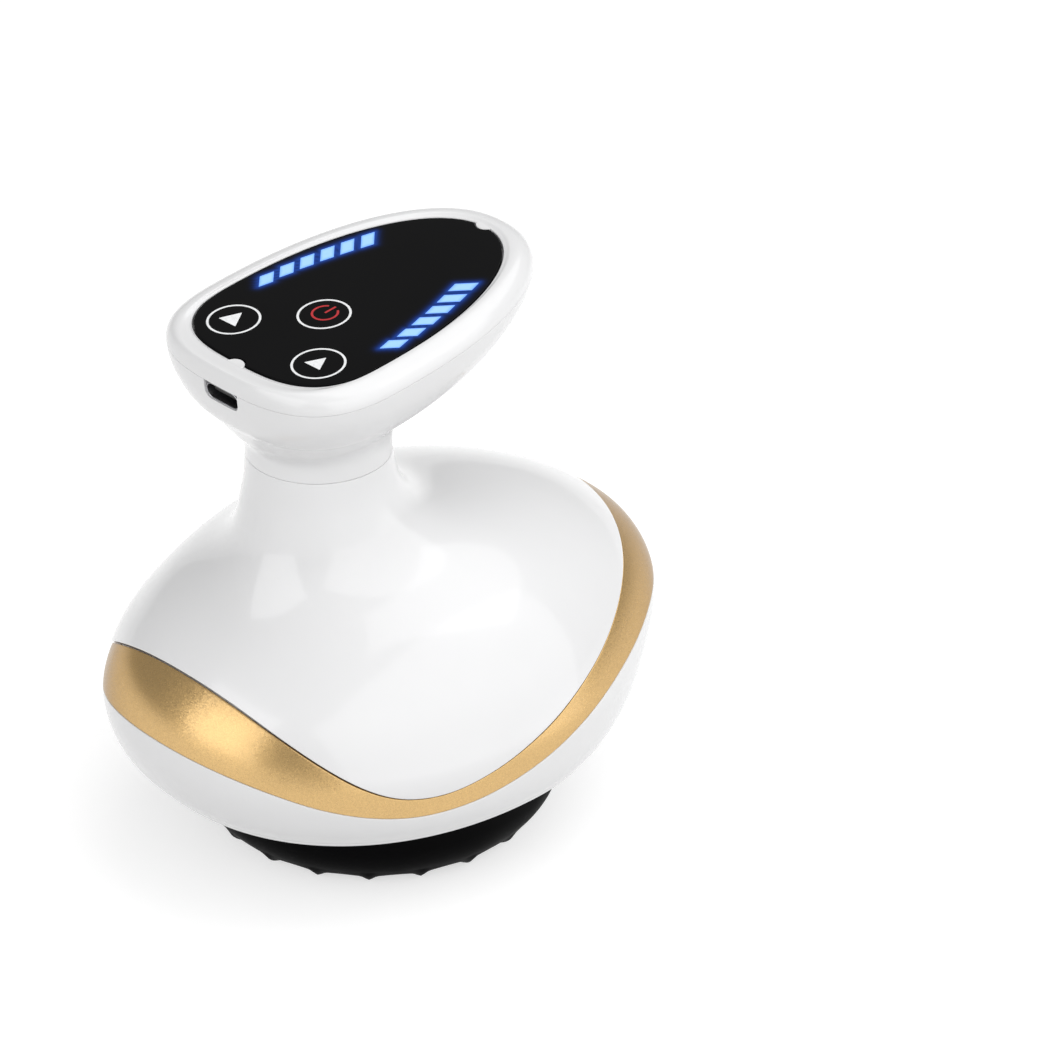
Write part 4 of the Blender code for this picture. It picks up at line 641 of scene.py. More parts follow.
def cylinder_mesh(radius, low, high, x=0.0, y=0.0, columns=48, edge=0.0):
    """An upright round rod between two heights."""
    turns = full_turn(columns)
    outline = np.column_stack([x + radius * np.cos(turns), y + radius * np.sin(turns)])
    return plate_mesh(outline, low, high, edge)


def merged(meshes):
    """Several closed meshes as one."""
    work = bmesh.new()
    for mesh in meshes:
        work.from_mesh(mesh)
        bpy.data.meshes.remove(mesh)
    joined = bpy.data.meshes.new("merged")
    work.to_mesh(joined)
    work.free()
    return joined


def combined(mesh, others, operation):
    """One Boolean step between a closed mesh and another, or several at once."""
    part = bpy.data.objects.new("part", mesh)
    other = bpy.data.objects.new("other", merged(others) if isinstance(others, list) else others)
    for item in (part, other):
        bpy.context.scene.collection.objects.link(item)
    step = part.modifiers.new("step", "BOOLEAN")
    step.object, step.operation, step.solver = other, operation, "MANIFOLD"
    bpy.context.view_layer.update()
    result = bpy.data.meshes.new_from_object(part.evaluated_get(bpy.context.evaluated_depsgraph_get()))
    for item in (part, other):
        data = item.data
        bpy.data.objects.remove(item, do_unlink=True)
        bpy.data.meshes.remove(data)
    weld(result)
    if not result.polygons:
        raise RuntimeError(f"a {operation.lower()} step left nothing of the piece")
    return result


def finished(name, mesh, material, nodes):
    """Put a finished piece among the others: shaded, painted, riding on the body, standing for its CAD nodes."""
    mesh.name = name
    piece = bpy.data.objects.new(name, mesh)
    massager_collection().objects.link(piece)
    mesh.materials.clear()
    mesh.materials.append(material)
    mesh.shade_smooth()
    mesh.set_sharp_from_angle(angle=SHARP_ANGLE)
    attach(piece, "body")
    if nodes:
        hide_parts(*nodes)


# ---------------------------------------------------------------- finishes

NOISE_RANGE = (0.3, 0.7)
METAL_RELIEF = 0.000003


class Nodes:
    """Short words for making and joining the nodes of one tree."""

    def __init__(self, tree):
        self.tree = tree

    def feed(self, socket, value):
        """Link a socket to another, or set its plain value."""
        if isinstance(value, bpy.types.NodeSocket):
            self.tree.links.new(value, socket)
        else:
            socket.default_value = value

    def add(self, kind, settings=None, **inputs):
        """A new node with its settings, its inputs fed by name."""
        node = self.tree.nodes.new(kind)
        for key, value in (settings or {}).items():
            setattr(node, key, value)
        for key, value in inputs.items():
            self.feed(node.inputs[key.replace("_", " ")], value)
        return node

    def add_in_order(self, kind, settings, values):
        """The output of a new node whose inputs are fed in their order."""
        node = self.add(kind, settings)
        for socket, value in zip(node.inputs, values):
            self.feed(socket, value)
        return node.outputs[0]

    def math(self, operation, *values):
        """A sum or another step on plain numbers."""
        return self.add_in_order("ShaderNodeMath", {"operation": operation}, values)

    def vector(self, operation, *values):
        """A sum or another step on directions."""
        return self.add_in_order("ShaderNodeVectorMath", {"operation": operation}, values)

    def span(self, value, low, high, new_low, new_high):
        """A value carried over from one range to another."""
        return self.add_in_order("ShaderNodeMapRange", {}, (value, low, high, new_low, new_high))

    def noise_span(self, noise, low, high):
        """A noise's usual range carried over to another."""
        return self.span(noise, *NOISE_RANGE, low, high)

    def blend(self, share, first, second, kind="MIX"):
        """Two colours mixed by a share."""
        node = self.add("ShaderNodeMix", {"data_type": "RGBA", "blend_type": kind})
        for index, value in ((0, share), (6, first), (7, second)):
            self.feed(node.inputs[index], value)
        return node.outputs[2]

    def times(self, tone, level):
        """A colour made lighter or darker by a level."""
        return self.blend(1.0, tone, level, "MULTIPLY")


def opaque(color):
    """A colour with full alpha."""
    return (*color[:3], 1.0)


def surface_group(name, **values):
    """A new node group that turns a place and a tone into a surface, or the old one and None."""
    group = bpy.data.node_groups.get(name)
    if group:
        return group, None
    group = bpy.data.node_groups.new(name, "ShaderNodeTree")
    sockets = group.interface
    sockets.new_socket("Vector", in_out="INPUT", socket_type="NodeSocketVector")
    sockets.new_socket("Tone", in_out="INPUT", socket_type="NodeSocketColor")
    for label, value in values.items():
        sockets.new_socket(label, in_out="INPUT", socket_type="NodeSocketFloat").default_value = value
    for label, kind in (("Tone", "Color"), ("Roughness", "Float"), ("Height", "Float")):
        sockets.new_socket(label, in_out="OUTPUT", socket_type="NodeSocket" + kind)
    return group, Nodes(group)


def moulded_grain():
    """Moulded plastic and rubber: a slow change of tone, and a fine skin of orange peel or texture."""
    group, nodes = surface_group("moulded_grain", Roughness=0.3, Grain=2000.0, Cloud=60.0, Variation=0.03)
    if nodes:
        given = nodes.add("NodeGroupInput").outputs
        place, amount = given["Vector"], given["Variation"]
        fine = nodes.add("ShaderNodeTexNoise", Vector=place, Scale=given["Grain"], Detail=4.0, Roughness=0.6)
        slow = nodes.add("ShaderNodeTexNoise", Vector=place, Scale=given["Cloud"], Detail=3.0, Roughness=0.5)
        cloudy = nodes.math("MULTIPLY", nodes.noise_span(slow.outputs[0], -1.0, 1.0), amount)
        gritty = nodes.math("MULTIPLY", nodes.noise_span(fine.outputs[0], -0.5, 0.5), amount)
        level = nodes.math("ADD", cloudy, 1.0)
        dullness = nodes.math("MULTIPLY", given["Roughness"], nodes.math("ADD", gritty, level))
        nodes.add(
            "NodeGroupOutput", Tone=nodes.times(given["Tone"], level), Roughness=dullness, Height=fine.outputs[0]
        )
    return group


def drawn_metal():
    """Turned or drawn metal: long scratches across one direction, with a slow change of tone."""
    group, nodes = surface_group("drawn_metal", Roughness=0.35, Lines=4000.0, Depth=0.12)
    if nodes:
        given = nodes.add("NodeGroupInput").outputs
        place, amount = given["Vector"], given["Depth"]
        lines = nodes.add("ShaderNodeTexNoise", Vector=place, Scale=given["Lines"], Detail=5.0, Roughness=0.7)
        slow = nodes.add("ShaderNodeTexNoise", Vector=place, Scale=150.0, Detail=2.0)
        scratch = nodes.math("MULTIPLY", nodes.noise_span(lines.outputs[0], -1.0, 1.0), amount)
        cloudy = nodes.math("MULTIPLY", nodes.noise_span(slow.outputs[0], -0.5, 0.5), amount)
        level = nodes.math("ADD", nodes.math("ADD", scratch, cloudy), 1.0)
        dullness = nodes.math("MULTIPLY", given["Roughness"], level)
        nodes.add(
            "NodeGroupOutput", Tone=nodes.times(given["Tone"], level), Roughness=dullness, Height=lines.outputs[0]
        )
    return group


def fresh_material(name, **constants):
    """A new node material with its shader, the part's own coordinates, and plain values on the shader."""
    material = bpy.data.materials.new(name)
    material.use_nodes = True
    nodes = Nodes(material.node_tree)
    shader = material.node_tree.nodes["Principled BSDF"]
    for label, value in constants.items():
        shader.inputs[label.replace("_", " ")].default_value = value
    place = nodes.add("ShaderNodeTexCoord").outputs["Object"]
    return material, nodes, shader, place


def surface_of(nodes, group, place, color, **values):
    """The outputs of a surface group with a material's own values."""
    return nodes.add("ShaderNodeGroup", {"node_tree": group}, Vector=place, Tone=opaque(color), **values).outputs


def dress(nodes, shader, tone, roughness, height, relief):
    """Feed a shader's colour and roughness, and raise its surface by a height times the relief in metres."""
    nodes.feed(shader.inputs["Base Color"], tone)
    nodes.feed(shader.inputs["Roughness"], roughness)
    bump = nodes.add("ShaderNodeBump", Strength=1.0, Distance=relief, Height=height)
    nodes.feed(shader.inputs["Normal"], bump.outputs[0])


def plastic(name, color, roughness, grain=2000.0, cloud=60.0, variation=0.03, relief=0.000004, **constants):
    """Moulded plastic or rubber with its own grain."""
    material, nodes, shader, place = fresh_material(name, **constants)
    made = surface_of(
        nodes, moulded_grain(), place, color, Roughness=roughness, Grain=grain, Cloud=cloud, Variation=variation
    )
    dress(nodes, shader, made["Tone"], made["Roughness"], made["Height"], relief)
    return material


def metal(name, color, roughness, scale=(1.0, 1.0, 0.05), lines=4000.0, depth=0.12):
    """Bare metal, scratched along the axis whose scale is smallest."""
    material, nodes, shader, place = fresh_material(name, Metallic=1.0)
    turned = nodes.add("ShaderNodeMapping", Vector=place, Scale=scale).outputs[0]
    made = surface_of(nodes, drawn_metal(), turned, color, Roughness=roughness, Lines=lines, Depth=depth)
    dress(nodes, shader, made["Tone"], made["Roughness"], made["Height"], METAL_RELIEF)
    return material


def gold_paint(color):
    """Metallic paint: flakes that each lean a little their own way, under a thin clear coat."""
    material, nodes, shader, place = fresh_material(
        "gold_paint",
        Metallic=0.97,
        Specular_Tint=(0.45, 0.38, 0.30, 1.0),
        Coat_Weight=0.6,
        Coat_Roughness=0.2,
    )
    made = surface_of(nodes, moulded_grain(), place, color, Roughness=0.30, Grain=3000.0, Cloud=60.0, Variation=0.015)
    flake = nodes.add("ShaderNodeTexVoronoi", {"feature": "F1"}, Vector=place, Scale=6500.0).outputs["Color"]
    parts = nodes.add("ShaderNodeSeparateColor", Color=flake).outputs
    sparkle, dullness = (nodes.span(parts[k], 0.0, 1.0, 0.9, 1.1) for k in (0, 1))
    nodes.feed(shader.inputs["Base Color"], nodes.times(made["Tone"], sparkle))
    nodes.feed(shader.inputs["Roughness"], nodes.math("MULTIPLY", made["Roughness"], dullness))
    lean = nodes.vector("SUBTRACT", flake, (0.5, 0.5, 0.5))
    lean = nodes.vector("MULTIPLY", lean, (0.10, 0.10, 0.10))
    leaning = nodes.vector("ADD", nodes.add("ShaderNodeNewGeometry").outputs["Normal"], lean)
    nodes.feed(shader.inputs["Normal"], nodes.vector("NORMALIZE", leaning))
    return material


def lens_glass(color, glow_color):
    """Black printed glass that glows blue round the lamp windows."""
    material, nodes, shader, place = fresh_material("lens_glass", Specular_IOR_Level=0.06, Emission_Strength=1.0)
    made = surface_of(nodes, moulded_grain(), place, color, Roughness=0.11, Grain=900.0, Cloud=45.0, Variation=0.10)
    dress(nodes, shader, made["Tone"], made["Roughness"], made["Height"], 0.000001)
    glow = nodes.add("ShaderNodeAttribute", {"attribute_name": "glow"}).outputs["Fac"]
    nodes.feed(shader.inputs["Emission Color"], nodes.blend(glow, opaque((0.0, 0.0, 0.0)), opaque(glow_color)))
    return material


def lit_window(core_color, edge_color):
    """A lamp window: pale in the middle, bluer at its edge."""
    material, nodes, shader, place = fresh_material(
        "lamp_window_light", Specular_IOR_Level=0.3, Base_Color=(0.05, 0.12, 0.3, 1.0), Emission_Strength=1.0
    )
    core = nodes.add("ShaderNodeAttribute", {"attribute_name": "core"}).outputs["Fac"]
    fleck = nodes.add("ShaderNodeTexNoise", Vector=place, Scale=1500.0, Detail=2.0).outputs[0]
    share = nodes.math("ADD", core, nodes.noise_span(fleck, -0.08, 0.08))
    nodes.feed(shader.inputs["Emission Color"], nodes.blend(share, opaque(edge_color), opaque(core_color)))
    nodes.feed(shader.inputs["Roughness"], nodes.noise_span(fleck, 0.12, 0.2))
    return material


def printed_ink(name, color):
    """Screen-printed ink with a slightly uneven face."""
    return plastic(name, color, 0.28, grain=5000.0, cloud=900.0, variation=0.06, relief=0.000002)


def battery_sleeve(color):
    """Heat-shrunk film with fine wrinkles round the cell's ends."""
    material, nodes, shader, place = fresh_material("battery_sleeve", Coat_Weight=0.3, Coat_Roughness=0.2)
    made = surface_of(nodes, moulded_grain(), place, color, Roughness=0.33, Grain=600.0, Cloud=120.0, Variation=0.08)
    ripples = nodes.add(
        "ShaderNodeTexWave", {"bands_direction": "Y"}, Vector=place, Scale=160.0, Distortion=6.0, Detail=3.0
    )
    height = nodes.math("ADD", nodes.math("MULTIPLY", ripples.outputs["Fac"], 0.3), made["Height"])
    dress(nodes, shader, made["Tone"], made["Roughness"], height, 0.00003)
    return material


def wound_copper(color):
    """Enamelled copper wire laid in fine turns, with painted shade darkening the grooves between them."""
    material, nodes, shader, place = fresh_material("wound_copper", Metallic=1.0)
    made = surface_of(nodes, drawn_metal(), place, color, Roughness=0.38, Lines=2500.0, Depth=0.1)
    turns = nodes.add(
        "ShaderNodeTexWave", {"bands_direction": "Y"}, Vector=place, Scale=900.0, Distortion=0.6, Detail=2.0
    ).outputs["Fac"]
    # Painted shade: the tone falls to 0.45 in the grooves between the turns, where the wire lies lowest.
    tone = nodes.times(made["Tone"], nodes.span(turns, 0.0, 1.0, 0.45, 1.1))
    dress(nodes, shader, tone, made["Roughness"], turns, 0.00005)
    return material


def solder_mask(color):
    """Circuit board: lacquer over raised copper tracks."""
    material, nodes, shader, place = fresh_material("solder_mask", Coat_Weight=0.4, Coat_Roughness=0.25)
    made = surface_of(nodes, moulded_grain(), place, color, Roughness=0.4, Grain=2500.0, Cloud=150.0, Variation=0.1)
    tracks = nodes.add(
        "ShaderNodeTexVoronoi", {"distance": "MANHATTAN", "feature": "DISTANCE_TO_EDGE"}, Vector=place, Scale=260.0
    )
    copper = nodes.span(tracks.outputs["Distance"], 0.02, 0.05, 1.0, 0.0)
    paler = nodes.blend(copper, made["Tone"], (0.05, 0.3, 0.12, 1.0))
    dress(nodes, shader, paler, made["Roughness"], copper, 0.00003)
    return material


def filter_felt(color):
    """Open-celled foam, its pores darkened with painted shade."""
    material, nodes, shader, place = fresh_material("filter_felt", Sheen_Weight=0.2)
    made = surface_of(nodes, moulded_grain(), place, color, Roughness=0.95, Grain=2000.0, Cloud=300.0, Variation=0.08)
    cells = nodes.add("ShaderNodeTexVoronoi", {"feature": "F1"}, Vector=place, Scale=2600.0).outputs["Distance"]
    # Painted shade: the tone falls to 0.45 at each cell's middle, the pore, where the surface lies lowest.
    tone = nodes.times(made["Tone"], nodes.span(cells, 0.0, 0.6, 0.45, 1.0))
    dress(nodes, shader, tone, made["Roughness"], cells, 0.0002)
    return material


# ---------------------------------------------------------------- settings


class MassagerHousing(bpy.types.PropertyGroup):
    """Walls, gaps, edges and colours of the shells and the band"""

    wall: FloatProperty(
        name="Wall", description="Thickness of the moulded shells", default=WALL, min=0.0010, max=0.0030, unit="LENGTH"
    )
    gap: FloatProperty(
        name="Parting gap", description="Gap between two shells", default=GAP, min=0.0001, max=0.0006, unit="LENGTH"
    )
    seam: FloatProperty(
        name="Seam", description="Gap at the closed joints of the neck and of the band's lower edge",
        default=0.00008, min=0.00005, max=0.0004, unit="LENGTH",
    )
    parting: FloatProperty(
        name="Handle parting", description="Gap at the handle's closed parting line",
        default=0.00006, min=0.00002, max=0.0004, unit="LENGTH",
    )
    seam_edge: FloatProperty(
        name="Seam edge radius", description="Radius of the edges at the closed joints",
        default=0.00008, min=0.00003, max=0.0003, unit="LENGTH",
    )
    edge: FloatProperty(
        name="Edge radius", description="Radius of the moulded edges",
        default=0.00018, min=0.00005, max=0.0005, unit="LENGTH",
    )
    band_step: FloatProperty(
        name="Band step", description="How far the gold band's upper edge lies under the shell",
        default=0.0003, min=0.0, max=0.0008, unit="LENGTH",
    )
    shell_color: FloatVectorProperty(
        name="Shell", description="Colour of the white housing", default=(0.78, 0.78, 0.785), **COLOR
    )
    band_color: FloatVectorProperty(
        name="Band", description="Colour of the metallic band", default=(0.60, 0.393, 0.16), **COLOR
    )


class MassagerPanel(bpy.types.PropertyGroup):
    """The rim round the touch lens, and the colours of what is on it"""

    rim_height: FloatProperty(
        name="Rim height", description="How far the crown of the rim stands over the lens",
        default=0.0004, min=0.0, max=0.0010, unit="LENGTH",
    )
    rim_margin: FloatProperty(
        name="Rim margin", description="Distance of the rim's crown from the handle's outline",
        default=0.0043, min=0.0030, max=0.0048, unit="LENGTH",
    )
    lens_color: FloatVectorProperty(
        name="Lens", description="Colour of the printed glass", default=(0.003, 0.003, 0.0033), **COLOR
    )
    ink_color: FloatVectorProperty(
        name="Key marks", description="Colour of the key rings and triangles", default=(0.86, 0.87, 0.88), **COLOR
    )
    power_color: FloatVectorProperty(
        name="Power mark", description="Colour of the power mark", default=(0.50, 0.018, 0.024), **COLOR
    )
    lamp_color: FloatVectorProperty(
        name="Lamp", description="Colour of a lit window's middle", default=(0.36, 0.60, 1.0), **COLOR
    )
    glow_color: FloatVectorProperty(
        name="Glow", description="Colour of the light that spreads round the windows",
        default=(0.012, 0.065, 0.40), **COLOR,
    )


class MassagerHead(bpy.types.PropertyGroup):
    """The massage tips and the colour of the head"""

    tips: IntProperty(name="Tips", description="Number of massage tips round the head", default=20, min=8, max=32)
    tip_rise: FloatProperty(
        name="Tip rise", description="How far a tip stands out of the rounded skirt",
        default=0.0011, min=0.0, max=0.0020, unit="LENGTH",
    )
    tip_width: FloatProperty(
        name="Tip width", description="Distance from a tip's point to where it meets the facets",
        default=0.0015, min=0.0005, max=0.0040, unit="LENGTH",
    )
    tip_length: FloatProperty(
        name="Tip length", description="Distance from a tip's point to its ends up and down the skirt",
        default=0.0048, min=0.0020, max=0.0080, unit="LENGTH",
    )
    color: FloatVectorProperty(
        name="Head", description="Colour of the scraping head", default=(0.0020, 0.0020, 0.0022), **COLOR
    )


class MassagerStudio(bpy.types.PropertyGroup):
    """Camera, floor and light"""

    focal_length: FloatProperty(
        name="Focal length", description="Focal length of the camera",
        default=156.72, min=20.0, max=300.0, unit="CAMERA",
    )
    floor_radius: FloatProperty(
        name="Floor radius", description="Distance at which the floor starts to sweep up",
        default=2.4, min=1.5, max=5.0, unit="LENGTH",
    )
    ambient: FloatProperty(
        name="Ambient", description="Strength of the even light from all round", default=0.40, min=0.0, max=2.0
    )
    lamps: FloatProperty(name="Lamps", description="Strength of the three lamps", default=1.0, min=0.0, max=5.0)
    floor_color: FloatVectorProperty(
        name="Floor", description="Colour of the floor", default=(0.56, 0.56, 0.56), **COLOR
    )


# ---------------------------------------------------------------- housing


def shell_white():
    """The gloss white of the housing, made once."""
    made = bpy.data.materials.get("shell_white")
    return made or plastic(
        "shell_white",
        bpy.context.scene.massager_housing.shell_color,
        roughness=0.26,
        grain=900.0,
        cloud=35.0,
        variation=0.012,
        relief=0.0000015,
        Specular_IOR_Level=0.3,
        Coat_Weight=0.7,
        Coat_Roughness=0.08,
    )


def screw_places(circle, count, first, y):
    """Places spread evenly on a circle, from a first turn on."""
    turns = [first + math.tau * k / count for k in range(count)]
    return [(circle * math.cos(t), y + circle * math.sin(t)) for t in turns]


CASE_SCREWS = [(side * CASE_SCREW_X, HEAD_Y + end * CASE_SCREW_REACH) for side in (-1, 1) for end in (-1, 1)]
CHASSIS_SCREWS = [
    (side * (CHASSIS_WIDTH / 2 - COLUMN_EDGE), y) for side in (-1, 1) for y in (-COLUMN_BACK, COLUMN_FRONT)
]
NECK_SCREWS = screw_places(NECK_SCREW_CIRCLE, 3, math.radians(90.0), NECK_Y)
HEAD_SCREWS = screw_places(HEAD_SCREW_CIRCLE, 3, math.radians(30.0), HEAD_Y)


def rods(places, radius, low, high):
    """An upright rod at each (x, y) place, to stand as a post or to cut a hole."""
    return [cylinder_mesh(radius, low, high, x, y) for x, y in places]


def bell_core(inset):
    """The inside of the bell as a solid, to trim posts to the wall."""
    return capped_mesh([bell_skin(share, inset) for share in np.linspace(CORE_TOP, CORE_BOTTOM, CORE_ROWS)])


class MASSAGER_OT_upper_shell(bpy.types.Operator):
    """Build the white bell from the neck joint down to the gold band"""

    bl_idname = "massager.upper_shell"
    bl_label = "Upper shell"

    def execute(self, context):
        look = context.scene.massager_housing
        neck, scale = 1 - look.seam / 2 / BELL_RISE, 1 / BELL_RISE
        lower = TOP_EDGE + TOP_SCALE * look.gap / 2
        shell = loft_mesh(wall_rows(neck, lower, scale, TOP_SCALE, look.wall, look.edge, SHELL_ROWS))
        flange_top = SPIGOT_BOTTOM - GAP
        inner = [cylinder_mesh(BODY_WIDTH / 2, flange_top - WALL, flange_top, y=NECK_Y, columns=COLUMNS)]
        inner += rods(CASE_SCREWS, CASE_POST_RADIUS, FLOOR_TOP + GAP, SPIGOT_BOTTOM - 2 * WALL)
        shell = combined(shell, combined(merged(inner), bell_core(WALL / 2), "INTERSECT"), "UNION")
        under, over = flange_top - 2 * WALL, flange_top + WALL
        holes = [cylinder_mesh(WIRE_HOLE, under, over, y=NECK_Y)]
        holes += rods(NECK_SCREWS, SCREW_HOLE, under, over)
        holes += rods(CASE_SCREWS, SCREW_HOLE, BODY_BOTTOM, FLOOR_TOP + GAP + SCREW_LENGTH)
        shell = combined(shell, holes, "DIFFERENCE")
        finished("upper_shell", shell, shell_white(), ["body_upper_shell"])
        return {"FINISHED"}


class MASSAGER_OT_gold_band(bpy.types.Operator):
    """Build the painted band that sweeps round the body"""

    bl_idname = "massager.gold_band"
    bl_label = "Gold band"

    def execute(self, context):
        look = context.scene.massager_housing
        rows = wall_rows(
            TOP_EDGE - TOP_SCALE * look.gap / 2,
            BOTTOM_EDGE + BOTTOM_SCALE * look.seam / 2,
            TOP_SCALE,
            BOTTOM_SCALE,
            WALL - look.band_step,
            look.edge * BAND_EDGE_SHARE,
            BAND_ROWS,
            look.band_step,
        )
        finished("gold_band", loft_mesh(rows), gold_paint(look.band_color), ["gold_trim_band"])
        return {"FINISHED"}


class MASSAGER_OT_lower_shell(bpy.types.Operator):
    """Build the white tray under the band, with its lip, floor and chassis columns"""

    bl_idname = "massager.lower_shell"
    bl_label = "Lower shell"

    def execute(self, context):
        look = context.scene.massager_housing
        top = BOTTOM_EDGE - BOTTOM_SCALE * look.seam / 2
        rows = [bell_skin(top - BOTTOM_SCALE * back, deep) for back, deep in reversed(edge_arc(look.edge))]
        below_edge = top - BOTTOM_SCALE * 2 * look.edge
        rows += skin_rows(below_edge, UNDERSIDE_TURN, TRAY_ROWS)
        rows += self.bottom_rows(rows[-1]) + self.hole_rows()
        inner_floor = bell_skin(0.0, look.wall)
        inner_floor[:, 2] = FLOOR_TOP
        rows += [self.toward_hole(inner_floor, share) for share in INNER_FLOOR_SHARES]
        lip_top = TOP_EDGE + LIP_RISE / BELL_RISE
        inner_start = look.wall / BELL_RISE * INNER_FLOOR_TURN
        rows += skin_rows(inner_start, top - BOTTOM_SCALE * look.wall, LIP_ROWS, look.wall)
        rows += skin_rows(top, lip_top, LIP_ROWS, LIP_INSET + look.wall)
        rows += skin_rows(lip_top, top, LIP_ROWS, LIP_INSET)
        columns = rods(CHASSIS_SCREWS, CASE_POST_RADIUS, FLOOR_TOP - WALL / 2, CHASSIS_BOTTOM - GAP)
        shell = combined(loft_mesh(rows), columns, "UNION")
        holes = rods(CASE_SCREWS, SCREW_HOLE, BODY_BOTTOM - WALL, FLOOR_TOP + WALL)
        holes += rods(CHASSIS_SCREWS, SCREW_HOLE, FLOOR_TOP, CHASSIS_BOTTOM + GAP)
        shell = combined(shell, holes, "DIFFERENCE")
        finished("lower_shell", shell, shell_white(), ["body_lower_shell"])
        return {"FINISHED"}

    def toward_hole(self, ring, share):
        """A ring of the floor between its outer edge and the round opening."""
        return between(ring, round_ring(FLOOR_HOLE, HEAD_Y, ring[0, 2]), share)

    def bottom_rows(self, last):
        """The turn from the outer wall into the flat underside, and the underside."""
        corner = bell_skin(0.0)
        flat = self.toward_hole(corner, UNDERSIDE_EDGE)
        lowered = corner - (0.0, 0.0, EDGE_DROP)
        flat[:, 2] -= EDGE_DROP
        rows = [bent(last, lowered, flat, t) for t in np.linspace(0, 1, LIP_ROWS)[1:]]
        return rows + [self.toward_hole(corner, share) for share in UNDERSIDE_SHARES]

    def hole_rows(self):
        """The opening's wall, with its two edges rounded."""
        reach = HOLE_EDGE_REACH
        corners = [(reach, BODY_BOTTOM), (0.0, BODY_BOTTOM), (0.0, FLOOR_TOP), (reach, FLOOR_TOP)]
        profile = softened(corners, GAP, closed=False)[1:-1]
        return [round_ring(FLOOR_HOLE + grow, HEAD_Y, z) for grow, z in profile]


# ---------------------------------------------------------------- handle

PANEL_MATRIX = Matrix.Translation((0.0, PANEL_Y, PANEL_HEIGHT)) @ Matrix.Rotation(PANEL_TILT, 4, "X")


def panel_outline(grow=0.0):
    """The touch panel's egg-shaped outline, grown by an offset."""
    sizes = PANEL_WIDTH / 2 + grow, PANEL_FRONT + grow, PANEL_BACK + grow
    return oval_rings(*sizes, PANEL_FRONT_POWER, PANEL_BACK_POWER)[0]


def handle_outline(margin, back_margin=None):
    """The handle's widest outline, drawn in by a margin."""
    back = HANDLE_BACK - (margin if back_margin is None else back_margin)
    sizes = HANDLE_WIDTH / 2 - margin, HANDLE_FRONT - margin, back
    return oval_rings(*sizes, HANDLE_FRONT_POWER, HANDLE_BACK_POWER)[0]


def at_depth(outline, depth):
    """An outline placed at a depth under the panel's face, in the frame's metres."""
    matrix = np.array(PANEL_MATRIX)
    return raised(outline, -depth) @ matrix[:3, :3].T + matrix[:3, 3]


def in_panel(mesh):
    """Move a mesh that was made flat, with the panel's face at height 0, onto the panel."""
    mesh.transform(PANEL_MATRIX)
    return mesh


def parting_height(y):
    """Height of the handle's parting plane at a distance in front of the panel's middle."""
    return PANEL_HEIGHT + y * math.tan(PANEL_TILT) - PARTING_DEPTH / math.cos(PANEL_TILT)


def handle_table():
    """Points and outward directions of the handle's skin, from the neck joint up to the parting line."""
    shares = np.array(HANDLE_SHARES)
    front = between(NECK_RADIUS, HANDLE_FRONT, shares[:, 0])
    back = between(NECK_RADIUS, HANDLE_BACK, shares[:, 2])
    front_z = between(NECK_JOINT, parting_height(front), shares[:, 1])
    back_z = between(NECK_JOINT, parting_height(-back), shares[:, 3])
    steps = np.hypot(np.diff(front), np.diff(front_z)) + np.hypot(np.diff(back), np.diff(back_z))
    places = np.concatenate([[0.0], np.cumsum(steps)])
    dense = np.linspace(0, places[-1], HANDLE_ROWS)
    front_share, front_height, back_share, back_height, side = (
        blurred(smooth_curve(np.column_stack([places, shares[:, k]]))(dense), HANDLE_SPREAD) for k in range(5)
    )
    front = between(NECK_RADIUS, HANDLE_FRONT, front_share)
    back = between(NECK_RADIUS, HANDLE_BACK, back_share)
    shorten = between(1, math.cos(PANEL_TILT), side)
    shift = PARTING_DEPTH * math.sin(PANEL_TILT) * side
    front_z = between(NECK_JOINT, parting_height(front * shorten + shift), front_height)
    back_z = between(NECK_JOINT, parting_height(shift - back * shorten), back_height)
    rings = oval_rings(
        between(NECK_RADIUS, HANDLE_WIDTH / 2, side),
        front,
        back,
        between(2, HANDLE_FRONT_POWER, side),
        between(2, HANDLE_BACK_POWER, side),
    )
    middle = between(NECK_Y, PANEL_Y, side) + shift
    share = (rings[..., 1] + back[:, None]) / (front + back)[:, None]
    y = middle[:, None] + rings[..., 1] * shorten[:, None]
    points = np.stack([rings[..., 0], y, between(back_z[:, None], front_z[:, None], share)], -1)[::-1]
    return points, grid_normals(points)


def pill(width, height):
    """A slot outline with fully round ends."""
    radius = height / 2
    outline = []
    for centre, start in ((width / 2 - radius, -90.0), (radius - width / 2, 90.0)):
        outline += arc((centre, 0.0), radius, start, start + 180.0, PILL_STEPS)
    return np.array(outline)


def facing_back(mesh, forward):
    """Stand a flat mesh up in the socket's opening: its own height runs backwards from the neck."""
    turn = Matrix.Translation((0.0, 0.0, -SOCKET_DEPTH)) @ Matrix.Rotation(math.radians(90.0), 4, "X")
    mesh.transform(PANEL_MATRIX @ turn @ Matrix.Translation((0.0, 0.0, forward)))
    return mesh


def socket_notch():
    """The solid that cuts the charging opening below the parting line."""
    half = SOCKET_WIDTH / 2 + OPENING_GAP
    low, high = -SOCKET_HEIGHT / 2 - OPENING_GAP, SOCKET_DEPTH - PARTING_DEPTH
    radius = SOCKET_HEIGHT / 2
    corners = [(half, high), (-half, high)]
    for centre, start in ((radius - half, 180.0), (half - radius, 270.0)):
        corners += arc((centre, low + radius), radius, start, start + 90.0, OPENING_STEPS)
    return facing_back(plate_mesh(corners, -SOCKET_LENGTH, NOTCH_REACH), HANDLE_BACK)


